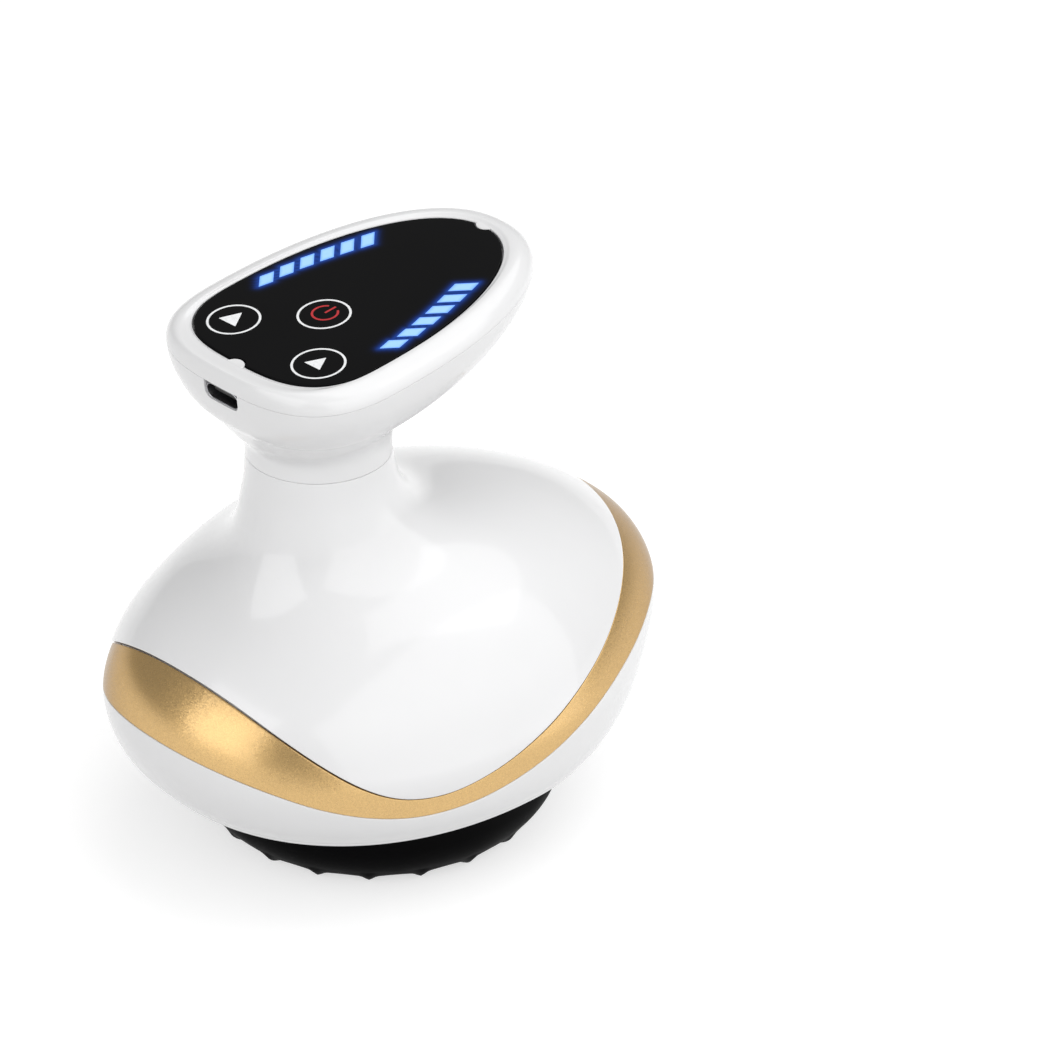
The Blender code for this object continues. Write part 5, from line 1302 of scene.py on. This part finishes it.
class MASSAGER_OT_handle_shell(bpy.types.Operator):
    """Build the white shell under the handle's parting line, down into the neck"""

    bl_idname = "massager.handle_shell"
    bl_label = "Handle shell"

    def execute(self, context):
        look = context.scene.massager_housing
        points, normals = handle_table()
        scale = 1 / np.linalg.norm(np.diff(points, axis=0), axis=2).mean(1).sum()

        def skin(share, inset=0.0):
            return from_table(points, share) - from_table(normals, share) * inset

        low, high = look.seam / 2 * scale, 1 - look.parting / 2 * scale
        support = 2 * look.seam_edge * scale
        arc_rows = edge_arc(look.seam_edge)
        rows = [skin(high - scale * back, deep) for back, deep in reversed(arc_rows)]
        rows += [skin(share) for share in np.linspace(high - support, low + support, GRIP_ROWS)]
        rows += [skin(low + scale * back, deep) for back, deep in arc_rows]
        spigot_top = NECK_JOINT + look.gap / 2
        spigot = (
            (SPIGOT_RADIUS, spigot_top),
            (SPIGOT_RADIUS, SPIGOT_BOTTOM),
            (WIRE_HOLE, SPIGOT_BOTTOM),
            (WIRE_HOLE, SPIGOT_BOTTOM + WALL),
            (SPIGOT_RADIUS - WALL, SPIGOT_BOTTOM + WALL),
            (SPIGOT_RADIUS - WALL, spigot_top),
        )
        rows += [round_ring(radius, NECK_Y, z) for radius, z in spigot]
        rows += [skin(share, look.wall) for share in np.linspace(INNER_WALL_START, high, INNER_GRIP_ROWS)]
        shell = combined(loft_mesh(rows), socket_notch(), "DIFFERENCE")
        holes = rods(NECK_SCREWS, SCREW_HOLE, SPIGOT_BOTTOM - WALL, SPIGOT_BOTTOM + 2 * WALL)
        shell = combined(shell, holes, "DIFFERENCE")
        finished("handle_grip", shell, shell_white(), ["handle_shell"])
        return {"FINISHED"}


TAB_PLACES = [(0.0, -PANEL_BACK - TAB_RADIUS + TAB_REACH), (0.0, PANEL_FRONT + TAB_RADIUS - TAB_REACH)]


class MASSAGER_OT_handle_bezel(bpy.types.Operator):
    """Build the white frame round the touch panel, with its crowned rim, tabs and posts"""

    bl_idname = "massager.handle_bezel"
    bl_label = "Handle bezel"

    def execute(self, context):
        look, housing = context.scene.massager_panel, context.scene.massager_housing
        floor = PARTING_DEPTH - housing.parting / 2
        rows = [at_depth(panel_outline(grow), LEDGE_DEPTH) for grow in (-LEDGE_WIDTH, GAP)]
        for back, _ in reversed(edge_arc(RECESS_EDGE)):
            rows.append(at_depth(panel_outline(GAP + (RECESS_EDGE - back)), self.recess_depth(back)))
        rows += self.crown_rows(look.rim_height, look.rim_margin, floor - 2 * housing.seam_edge)
        rows += [at_depth(handle_outline(deep), floor - back) for back, deep in edge_arc(housing.seam_edge)]
        slope, foot = LIP_INSET + SKIRT_SLOPE, PARTING_DEPTH + SKIRT_DEPTH
        under = (
            (handle_outline(LIP_INSET), floor),
            (handle_outline(slope), foot),
            (handle_outline(slope + BEZEL_WALL), foot),
            (handle_outline(LIP_INSET + BEZEL_WALL), floor - BEZEL_WALL),
            (handle_outline(LIP_INSET + BEZEL_WALL), BEZEL_WALL),
            (panel_outline(GAP + BEZEL_WALL), BEZEL_WALL),
            (panel_outline(GAP + BEZEL_WALL), LEDGE_DEPTH + BEZEL_WALL),
            (panel_outline(-LEDGE_WIDTH), LEDGE_DEPTH + BEZEL_WALL),
        )
        rows += [at_depth(outline, depth) for outline, depth in under]
        posts = [(side * x, y) for side in (-1, 1) for x, y in BOARD_POSTS]
        low, ledge = GAP - BOARD_DEPTH, -LEDGE_DEPTH - BEZEL_WALL / 2
        solids = [cylinder_mesh(TAB_RADIUS, ledge, 0.0, x, y, TAB_COLUMNS, TAB_EDGE) for x, y in TAB_PLACES]
        solids += rods(posts, POST_RADIUS, low, ledge)
        bezel = combined(loft_mesh(rows), in_panel(merged(solids)), "UNION")
        bezel = combined(bezel, socket_notch(), "DIFFERENCE")
        holes = rods(posts, SCREW_HOLE, low - WALL, low + BOARD_SCREW_LENGTH)
        bezel = combined(bezel, in_panel(merged(holes)), "DIFFERENCE")
        finished("handle_rim", bezel, shell_white(), ["handle_bezel"])
        return {"FINISHED"}

    def recess_depth(self, back):
        """Depth of the recess's rounded edge at a distance before it turns level."""
        return RECESS_EDGE - math.sqrt(max(RECESS_EDGE**2 - back**2, 0.0))

    def crown_rows(self, height, margin, lowest):
        """The rim from the recess up over its crown and down its outer side."""
        inner = panel_outline(GAP + RECESS_EDGE)
        crown = handle_outline(margin, margin * BACK_MARGIN_SHARE)
        rows = []
        for share in np.linspace(0, 1, RECESS_ROWS)[1:-1]:
            rows.append(at_depth(between(inner, crown, share), -height * smoothstep(share)))
        for turn in np.linspace(0, math.pi / 2, CROWN_ROWS):
            inset = margin * (1 - math.sin(turn))
            depth = (PARTING_DEPTH + height) * (1 - math.cos(turn)) - height
            if depth < lowest:
                rows.append(at_depth(handle_outline(inset, inset * BACK_MARGIN_SHARE), depth))
        return rows


def window_corners(side):
    """The four corners of each lamp window on one side, first to last."""
    windows = []
    last = len(WINDOW_PLACES) - 1
    for k, place in enumerate(WINDOW_PLACES):
        run, reach = (between(*np.array(ends), k / last) / 2 for ends in (WINDOW_RUN, WINDOW_REACH))
        centre = np.array(place) * (-1, 1)
        corners = np.array([centre - run - reach, centre - run + reach, centre + run + reach, centre + run - reach])
        windows.append(corners if side < 0 else corners[::-1] * (-1, 1))
    return windows


def distance_to_windows(places):
    """How far each (x, y) place lies from the nearest lamp window, 0 inside it."""
    nearest = np.full(len(places), 1.0)
    for corners in window_corners(-1) + window_corners(1):
        inside = np.ones(len(places), dtype=bool)
        distance = np.full(len(places), 1.0)
        for start, stop in zip(corners, np.roll(corners, -1, axis=0)):
            run = stop - start
            share = np.clip(((places - start) @ run) / (run @ run), 0, 1)
            distance = np.minimum(distance, np.linalg.norm(places - start - share[:, None] * run, axis=1))
            inside &= run[0] * (places[:, 1] - start[1]) - run[1] * (places[:, 0] - start[0]) > 0
        nearest = np.minimum(nearest, np.where(inside, 0.0, distance))
    return nearest


def give_values(mesh, name, values):
    """One number for each point of a mesh, for its material to read."""
    attribute = mesh.attributes.new(name, "FLOAT", "POINT")
    attribute.data.foreach_set("value", np.asarray(values, dtype=np.float32))


class MASSAGER_OT_touch_lens(bpy.types.Operator):
    """Build the black touch lens with a round notch at each end, and the glow round its lamps"""

    bl_idname = "massager.touch_lens"
    bl_label = "Touch lens"

    def execute(self, context):
        look = context.scene.massager_panel
        middle = np.array([0.0, (PANEL_FRONT - PANEL_BACK) / 2])
        outline = panel_outline(-LENS_EDGE)
        rows = [at_depth(middle + (outline - middle) * share, 0.0) for share in LENS_SHARES]
        rows += [at_depth(panel_outline(-deep), back) for deep, back in edge_arc(LENS_EDGE)[1:]]
        rows.append(at_depth(panel_outline(), LENS_THICKNESS))
        lens = capped_mesh(rows)
        notches = [
            cylinder_mesh(TAB_RADIUS + GAP, -LENS_CUT_REACH, LENS_CUT_REACH, x, y, TAB_NOTCH_COLUMNS)
            for x, y in TAB_PLACES
        ]
        lens = combined(lens, in_panel(merged(notches)), "DIFFERENCE")
        give_values(lens, "glow", self.glow(lens))
        finished("panel_lens", lens, lens_glass(look.lens_color, look.glow_color), ["touch_lens"])
        return {"FINISHED"}

    def glow(self, lens):
        """How strongly each point of the lens's upper half glows, from 1 at a window down to 0."""
        points = np.zeros(len(lens.vertices) * 3)
        lens.vertices.foreach_get("co", points)
        inverse = np.array(PANEL_MATRIX.inverted())
        flat = points.reshape(-1, 3) @ inverse[:3, :3].T + inverse[:3, 3]
        away = distance_to_windows(flat[:, :2])
        return np.exp(-((away / GLOW_REACH) ** GLOW_POWER)) * (flat[:, 2] > -LENS_THICKNESS / 2)


class MASSAGER_OT_key_marks(bpy.types.Operator):
    """Print the three key rings, the two triangles and the power mark on the lens"""

    bl_idname = "massager.key_marks"
    bl_label = "Key marks"

    def execute(self, context):
        look = context.scene.massager_panel
        ink = printed_ink("key_ink", look.ink_color)
        red = printed_ink("power_ink", look.power_color)
        for name, centre in KEY_RINGS.items():
            finished(name, in_panel(self.print_ring(centre)), ink, [])
        for name, arrow in KEY_ARROWS.items():
            finished(name, in_panel(self.print_plate(softened(arrow, ARROW_ROUNDING, 4))), ink, [])
        mark = merged([self.print_plate(outline) for outline in self.power_outlines()])
        finished("power_key_mark", in_panel(mark), red, [])
        return {"FINISHED"}

    def print_ring(self, centre):
        """A ring as a thin closed solid with broken edges."""
        chamfer = (PRINT_HIGH - PRINT_LOW) / 4
        inner, outer = RING_RADIUS - RING_STROKE / 2, RING_RADIUS + RING_STROKE / 2
        profile = (
            (inner + chamfer, PRINT_HIGH),
            (outer - chamfer, PRINT_HIGH),
            (outer, PRINT_HIGH - chamfer),
            (outer, PRINT_LOW),
            (inner, PRINT_LOW),
            (inner, PRINT_HIGH - chamfer),
        )
        return lathe_mesh(profile, RING_COLUMNS, y=centre[1], x=centre[0])

    def print_plate(self, outline):
        """A flat mark as a thin closed solid."""
        return plate_mesh(outline, PRINT_LOW, PRINT_HIGH, PRINT_EDGE)

    def power_outlines(self):
        """The open ring and the bar of the power mark."""
        half = POWER_MARK_STROKE / 2
        start, stop = 90.0 + POWER_MARK_GAP, 450.0 - POWER_MARK_GAP
        outer, inner = (
            arc(POWER_MARK, POWER_MARK_RADIUS + grow, start, stop, POWER_MARK_STEPS) for grow in (half, -half)
        )
        bar = np.array([(-half, 0.0), (half, 0.0), (half, POWER_MARK_BAR), (-half, POWER_MARK_BAR)]) + POWER_MARK
        return [outer + inner[::-1], softened(bar, half * POWER_BAR_ROUNDING, 4)]


class MASSAGER_OT_lamp_windows(bpy.types.Operator):
    """Light the twelve slanted windows along the panel's sides"""

    bl_idname = "massager.lamp_windows"
    bl_label = "Lamp windows"

    def execute(self, context):
        core = context.scene.massager_panel.lamp_color
        light = lit_window(core, (core[0] * WINDOW_EDGE_RED, core[1] * WINDOW_EDGE_GREEN, WINDOW_EDGE_BLUE))
        for side, name in ((-1, "left"), (1, "right")):
            for k, corners in enumerate(window_corners(side), 1):
                finished(f"lamp_window_{name}_{k}", in_panel(self.window(corners)), light, [])
        return {"FINISHED"}

    def window(self, corners):
        """A thin lit plate whose "core" value falls from its middle to its edge."""
        outline = np.array(softened(corners, WINDOW_ROUNDING))
        middle = outline.mean(0)
        rings = [(middle + (outline - middle) * share, PRINT_HIGH) for share in WINDOW_SHARES]
        rings += [(outline, PRINT_HIGH - PRINT_EDGE), (outline, PRINT_LOW)]
        mesh = capped_mesh([raised(ring, height) for ring, height in rings])
        core = np.clip((1 - np.array([*WINDOW_SHARES, 1.0, 1.0])) / WINDOW_FADE, 0, 1)
        give_values(mesh, "core", np.repeat(core, len(outline)))
        return mesh


class MASSAGER_OT_charging_socket(bpy.types.Operator):
    """Build the drawn steel sleeve of the charging socket"""

    bl_idname = "massager.charging_socket"
    bl_label = "Charging socket"

    def execute(self, context):
        rim = SLEEVE_WALL / 3
        sizes = (
            (0.0, SOCKET_LENGTH),
            (0.0, rim),
            (rim, 0.0),
            (SLEEVE_WALL - rim, 0.0),
            (SLEEVE_WALL, rim),
            (SLEEVE_WALL, SOCKET_LENGTH - SLEEVE_WALL),
        )
        sleeve = capped_mesh([self.ring(inset, depth) for inset, depth in reversed(sizes)])
        sleeve = facing_back(sleeve, HANDLE_BACK - SLEEVE_INSET)
        steel = metal("drawn_steel", (0.42, 0.42, 0.44), 0.3, scale=(1.0, 0.08, 1.0), lines=3000.0)
        finished("socket_sleeve", sleeve, steel, ["charging_socket"])
        return {"FINISHED"}

    def ring(self, inset, depth):
        """The sleeve's outline at a depth behind its mouth."""
        return raised(pill(SOCKET_WIDTH - 2 * inset, SOCKET_HEIGHT - 2 * inset), -depth)


# ---------------------------------------------------------------- head


class MASSAGER_OT_scraping_head(bpy.types.Operator):
    """Build the round black head with its massage tips and the suction cup"""

    bl_idname = "massager.scraping_head"
    bl_label = "Scraping head"

    def execute(self, context):
        look = context.scene.massager_head
        turns = np.linspace(0, math.pi / 2, SKIRT_ROWS)
        angles = full_turn(HEAD_COLUMNS)
        upper = self.upper_profile()
        skirt = [(FILLET_REACH + HEAD_FILLET * math.cos(t), FILLET_HEIGHT - HEAD_FILLET * math.sin(t)) for t in turns]
        profile = np.array(upper + skirt + self.mouth_profile())
        part = slice(len(upper), len(upper) + len(skirt))
        lean = np.zeros((len(profile), 2))
        lean[part] = np.column_stack([np.cos(turns), -np.sin(turns)])
        rise = np.zeros((len(profile), HEAD_COLUMNS))
        rise[part] = self.tip_field(turns, angles, look)
        radius = profile[:, :1] + lean[:, :1] * rise
        height = np.maximum(profile[:, 1:] + lean[:, 1:] * rise, 0.0)
        head = loft_mesh(np.stack([radius * np.cos(angles), HEAD_Y + radius * np.sin(angles), height], -1))
        holes = rods(CASE_SCREWS, SCREW_HEAD + GAP, HEAD_TOP - SCREW_HEAD_HEIGHT - 2 * GAP, BODY_BOTTOM)
        holes += rods(HEAD_SCREWS, SCREW_HOLE, FLOOR_TOP - SCREW_LENGTH + CLAMP_THICKNESS, FLOOR_TOP + WALL)
        head = combined(head, holes, "DIFFERENCE")
        satin = plastic(
            "head_satin",
            look.color,
            roughness=0.5,
            grain=2600.0,
            cloud=110.0,
            variation=0.14,
            relief=0.000012,
            Specular_IOR_Level=0.02,
        )
        finished("massage_head", head, satin, ["scraping_head"])
        return {"FINISHED"}

    def upper_profile(self):
        """From the nozzle's bore over the shoulder and the seal's groove down the outer wall."""
        groove_in = SEAL_RADIUS - SEAL_WIDTH / 2 - GAP
        groove_out = SEAL_RADIUS + SEAL_WIDTH / 2 + GAP
        groove_floor = HEAD_TOP - SEAL_HEIGHT - GAP
        shoulder = [
            (NOZZLE_HOLE, HEAD_TOP),
            (CLAMP_INNER, HEAD_TOP),
            (CLAMP_INNER, FLOOR_TOP),
            (FLOOR_HOLE - GAP, FLOOR_TOP),
            (FLOOR_HOLE - GAP, HEAD_TOP),
            (groove_in, HEAD_TOP),
            (groove_in, groove_floor),
            (groove_out, groove_floor),
            (groove_out, HEAD_TOP),
            (HEAD_RADIUS - GAP, HEAD_TOP),
            (HEAD_RADIUS, HEAD_TOP - GAP),
        ]
        heights = np.linspace(HEAD_TOP - 2 * GAP, FILLET_HEIGHT, HEAD_WALL_ROWS)[:-1]
        return shoulder + [(HEAD_RADIUS, z) for z in heights]

    def mouth_profile(self):
        """From the skirt's foot round the cup's mouth and up to its roof."""
        corners = (
            (FILLET_REACH, TIP_HEIGHT),
            (CUP_MOUTH, TIP_HEIGHT),
            (CUP_ROOF, CUP_ROOF_HEIGHT),
            (NOZZLE_HOLE, CUP_ROOF_HEIGHT),
        )
        return softened(corners, MOUTH_ROUNDING, MOUTH_STEPS, closed=False)[1:]

    def tip_field(self, turns, angles, look):
        """How far the skirt stands out at each turn and angle: a row of pointed tips between flat facets."""
        around = (angles - TIP_PHASE) * look.tips / math.tau
        around = np.abs(around - np.round(around))[None, :] * math.tau / look.tips
        radius = (FILLET_REACH + HEAD_FILLET * np.cos(turns))[:, None]
        facet = radius * (1 - math.cos(math.pi / look.tips) / np.cos(math.pi / look.tips - around))
        point = np.clip(TIP_PEAK - np.sqrt((around * radius / look.tip_width) ** 2 + TIP_BLUNTNESS), 0, 1)
        along = np.clip(1 - ((turns - TIP_SLOPE) * HEAD_FILLET / look.tip_length)[:, None] ** 2, 0, 1)
        return along * (look.tip_rise * (TIP_RIDGE + TIP_POINT * point) - facet)


def turned_plate(inner, outer, low, high, rounding, steps=3, columns=PLATE_COLUMNS):
    """A flat ring about the head's axis, or a disc where the inner radius is 0, with rounded edges."""
    profile = [(inner, high), (outer, high), (outer, low), (inner, low)]
    return lathe_mesh(softened(profile, rounding, steps, closed=inner > 0), columns, HEAD_Y)


class MASSAGER_OT_cup_fittings(bpy.types.Operator):
    """Build the heater plate, light ring, suction nozzle and filter inside the cup"""

    bl_idname = "massager.cup_fittings"
    bl_label = "Cup fittings"

    def execute(self, context):
        top = CUP_ROOF_HEIGHT - GAP
        bottom = top - HEATER_THICKNESS
        plate = turned_plate(NOZZLE_HOLE, HEATER_RADIUS, bottom, top, PLATE_ROUNDING)
        aluminium = metal("spun_aluminium", (0.75, 0.76, 0.77), 0.3, scale=(1.0, 1.0, 1.0), lines=900.0, depth=0.1)
        finished("cup_heater", plate, aluminium, ["heater_plate"])
        inside = HEATER_RADIUS + GAP
        ring = turned_plate(inside, inside + LIGHT_RING_WIDTH, bottom, top, LIGHT_ROUNDING, 6)
        red = plastic(
            "red_lens", (0.55, 0.02, 0.02), 0.2, grain=700.0, cloud=200.0, variation=0.1, Transmission_Weight=0.25
        )
        finished("cup_light_ring", ring, red, ["light_ring"])
        flange_top = bottom - GAP
        flange_bottom = flange_top - WALL / 2
        nozzle = [
            (NOZZLE_BORE, HEAD_TOP + NOZZLE_RISE),
            (NOZZLE_RADIUS, HEAD_TOP + NOZZLE_RISE),
            (NOZZLE_RADIUS, flange_top),
            (NOZZLE_FLANGE, flange_top),
            (NOZZLE_FLANGE, flange_bottom),
            (NOZZLE_BORE, flange_bottom),
        ]
        white = plastic("inner_white", (0.8, 0.8, 0.81), 0.4, grain=1800.0, cloud=120.0, variation=0.04)
        tube = lathe_mesh(softened(nozzle, NOZZLE_ROUNDING), NOZZLE_COLUMNS, HEAD_Y)
        finished("cup_nozzle", tube, white, ["suction_nozzle"])
        high = flange_bottom - GAP
        disc = turned_plate(0.0, FILTER_RADIUS, high - FILTER_THICKNESS, high, PLATE_ROUNDING, 4, NOZZLE_COLUMNS)
        finished("cup_filter", disc, filter_felt((0.7, 0.7, 0.66)), ["suction_filter"])
        return {"FINISHED"}


class MASSAGER_OT_inner_finishes(bpy.types.Operator):
    """Give each CAD solid that stays its own finish"""

    bl_idname = "massager.inner_finishes"
    bl_label = "Inner finishes"

    def execute(self, context):
        finishes = self.finishes()
        slots = {row["node"]: row["material_slot"] for row in frame["record"]["subparts"]}
        for name, node in frame["nodes"].items():
            if node.hide_render:
                continue
            material = finishes.get(slots[name])
            if material is None:
                raise RuntimeError(f"{name} has no finish for its slot {slots[name]}")
            if not node.material_slots:
                raise RuntimeError(f"{name} has no material slot")
            for place in node.material_slots:
                place.material = material
        return {"FINISHED"}

    def finishes(self):
        """One finish for each of the record's slots that a CAD solid still uses."""
        made = bpy.data.materials
        rubber, black, blue = (0.12, 0.12, 0.12), (0.012, 0.012, 0.012), (0.62, 0.78, 0.95)
        return {
            "seal_rubber": plastic("seal_rubber", rubber, 0.75, grain=1500.0, variation=0.1, relief=0.00002),
            "steel_small": metal("turned_steel", (0.5, 0.5, 0.5), 0.33, lines=3500.0),
            "white_inner": made["inner_white"],
            "grey_inner": plastic("inner_grey", (0.35, 0.36, 0.37), 0.5, grain=1600.0, variation=0.06, relief=0.00001),
            "battery_wrap": battery_sleeve((0.05, 0.17, 0.42)),
            "copper_rotor": wound_copper((0.72, 0.38, 0.2)),
            "clear_tube": plastic(
                "clear_silicone", (0.82, 0.83, 0.82), 0.35, grain=800.0, Transmission_Weight=0.6, IOR=1.41
            ),
            "circuit_green": solder_mask((0.02, 0.16, 0.07)),
            "lamp_blue": plastic("lamp_guide", blue, 0.35, grain=900.0, variation=0.05, Transmission_Weight=0.3),
            "black_inner": plastic("inner_black", black, 0.42, grain=1500.0, variation=0.12),
            "white_shell": shell_white(),
            "gold_paint": made["gold_paint"],
            "socket_steel": made["drawn_steel"],
        }


# ---------------------------------------------------------------- studio

# Each lamp's place, size and power
LAMPS = {
    "lamp_right": ((0.82, 0.12, 0.44), (1.75, 1.05), 6.8),
    "lamp_left": ((-0.05, -0.82, 0.43), (0.74, 0.80), 3.2),
    "lamp_top": ((0.1, 0.45, 1.05), (1.3, 1.1), 6.2),
}
LAMP_TARGET = (0.0, 0.0, 0.055)
FLOOR_SWEEP = math.radians(38.0)
SWEEP_RADIUS = 0.9
FLOOR_EMISSION = 0.60
CAMERA_PLACE = (0.55897509, -0.50821922, 0.5107242)
CAMERA_RIGHT = (0.69677235, 0.71728782, 0.00254699)
CAMERA_UP = (-0.36945292, 0.3558379, 0.85841944)


class MASSAGER_OT_studio(bpy.types.Operator):
    """Set the pale floor, the soft studio light and the camera"""

    bl_idname = "massager.studio"
    bl_label = "Studio"

    def execute(self, context):
        look = context.scene.massager_studio
        self.floor(look)
        self.world(look)
        for name, (place, size, power) in LAMPS.items():
            self.area_lamp(name, place, size, power * look.lamps)
        self.camera(look)
        return {"FINISHED"}

    def area_lamp(self, name, place, size, power):
        """A soft rectangular lamp that faces the massager."""
        light = bpy.data.lights.new(name, "AREA")
        light.shape = "RECTANGLE"
        light.size, light.size_y = size
        light.energy = power
        lamp = bpy.data.objects.new(name, light)
        lamp.location = place
        lamp.rotation_euler = (Vector(LAMP_TARGET) - Vector(place)).to_track_quat("-Z", "Y").to_euler()
        bpy.context.scene.collection.objects.link(lamp)

    def floor(self, look):
        """A round floor that sweeps up far away, and is lightened where the camera sees it."""
        turns = np.linspace(0, FLOOR_SWEEP, FLOOR_STEPS)
        sweep = [(look.floor_radius + SWEEP_RADIUS * math.sin(t), SWEEP_RADIUS * (1 - math.cos(t))) for t in turns]
        rows = [round_ring(radius, 0.0, z, full_turn(FLOOR_COLUMNS)) for radius, z in sweep]
        mesh = loft_mesh(rows, closed=False, cap_first=True)
        mesh.flip_normals()
        mesh.shade_smooth()
        floor = bpy.data.objects.new("studio_floor", mesh)
        bpy.context.scene.collection.objects.link(floor)
        material, nodes, shader, place = fresh_material(
            "studio_floor", Specular_IOR_Level=0.0, Emission_Color=(1.0, 1.0, 1.0, 1.0)
        )
        cloud = nodes.add("ShaderNodeTexNoise", Vector=place, Scale=6.0, Detail=2.0).outputs[0]
        tone = nodes.times(opaque(look.floor_color), nodes.noise_span(cloud, 0.985, 1.0))
        nodes.feed(shader.inputs["Base Color"], tone)
        nodes.feed(shader.inputs["Roughness"], nodes.noise_span(cloud, 0.75, 0.8))
        emission = nodes.math("MULTIPLY", self.seen_rays(nodes), FLOOR_EMISSION)
        nodes.feed(shader.inputs["Emission Strength"], emission)
        mesh.materials.append(material)

    def seen_rays(self, nodes):
        """1 for camera, glossy and transmission rays, else 0."""
        path = nodes.add("ShaderNodeLightPath").outputs
        seen = nodes.math("MAXIMUM", path["Is Camera Ray"], path["Is Glossy Ray"])
        return nodes.math("MAXIMUM", seen, path["Is Transmission Ray"])

    def world(self, look):
        """Even white light from all round."""
        world = bpy.data.worlds.new("studio_world")
        world.use_nodes = True
        background = world.node_tree.nodes["Background"]
        background.inputs["Color"].default_value = (1.0, 1.0, 1.0, 1.0)
        background.inputs["Strength"].default_value = look.ambient
        bpy.context.scene.world = world

    def camera(self, look):
        """The camera at the photograph's place."""
        data = bpy.data.cameras.new("camera")
        data.lens = look.focal_length
        data.sensor_width = 36.0
        data.clip_start, data.clip_end = 0.05, 20.0
        camera = bpy.data.objects.new("camera", data)
        right, up = Vector(CAMERA_RIGHT).normalized(), Vector(CAMERA_UP).normalized()
        turn = Matrix((right, up, right.cross(up))).transposed().to_4x4()
        camera.matrix_world = Matrix.Translation(CAMERA_PLACE) @ turn
        scene = bpy.context.scene
        scene.collection.objects.link(camera)
        scene.camera = camera
        scene.view_settings.view_transform = "Standard"


class MASSAGER_PT_builder(bpy.types.Panel):
    """The pieces of the massager, each with its button"""

    bl_idname = "MASSAGER_PT_builder"
    bl_label = "Cupping massager"
    bl_space_type = "VIEW_3D"
    bl_region_type = "UI"
    bl_category = "Massager"

    def draw(self, context):
        column = self.layout.column(align=True)
        for operator in OPERATORS:
            column.operator(operator.bl_idname)
        for name in SETTINGS:
            group = getattr(context.scene, name)
            box = self.layout.box()
            for key in type(group).__annotations__:
                box.prop(group, key)


OPERATORS = (
    MASSAGER_OT_upper_shell,
    MASSAGER_OT_gold_band,
    MASSAGER_OT_lower_shell,
    MASSAGER_OT_handle_shell,
    MASSAGER_OT_handle_bezel,
    MASSAGER_OT_touch_lens,
    MASSAGER_OT_key_marks,
    MASSAGER_OT_lamp_windows,
    MASSAGER_OT_charging_socket,
    MASSAGER_OT_scraping_head,
    MASSAGER_OT_cup_fittings,
    MASSAGER_OT_inner_finishes,
    MASSAGER_OT_studio,
)
SETTINGS = {
    "massager_housing": MassagerHousing,
    "massager_panel": MassagerPanel,
    "massager_head": MassagerHead,
    "massager_studio": MassagerStudio,
}


def register():
    for group in SETTINGS.values():
        bpy.utils.register_class(group)
    for name, group in SETTINGS.items():
        setattr(bpy.types.Scene, name, PointerProperty(type=group))
    for operator in OPERATORS:
        bpy.utils.register_class(operator)
    bpy.utils.register_class(MASSAGER_PT_builder)


def unregister():
    bpy.utils.unregister_class(MASSAGER_PT_builder)
    for operator in reversed(OPERATORS):
        bpy.utils.unregister_class(operator)
    for name, group in SETTINGS.items():
        delattr(bpy.types.Scene, name)
        bpy.utils.unregister_class(group)


def main():
    register()
    for operator in OPERATORS:
        section, step = operator.bl_idname.split(".")
        getattr(getattr(bpy.ops, section), step)()


if __name__ == "__main__":
    main()
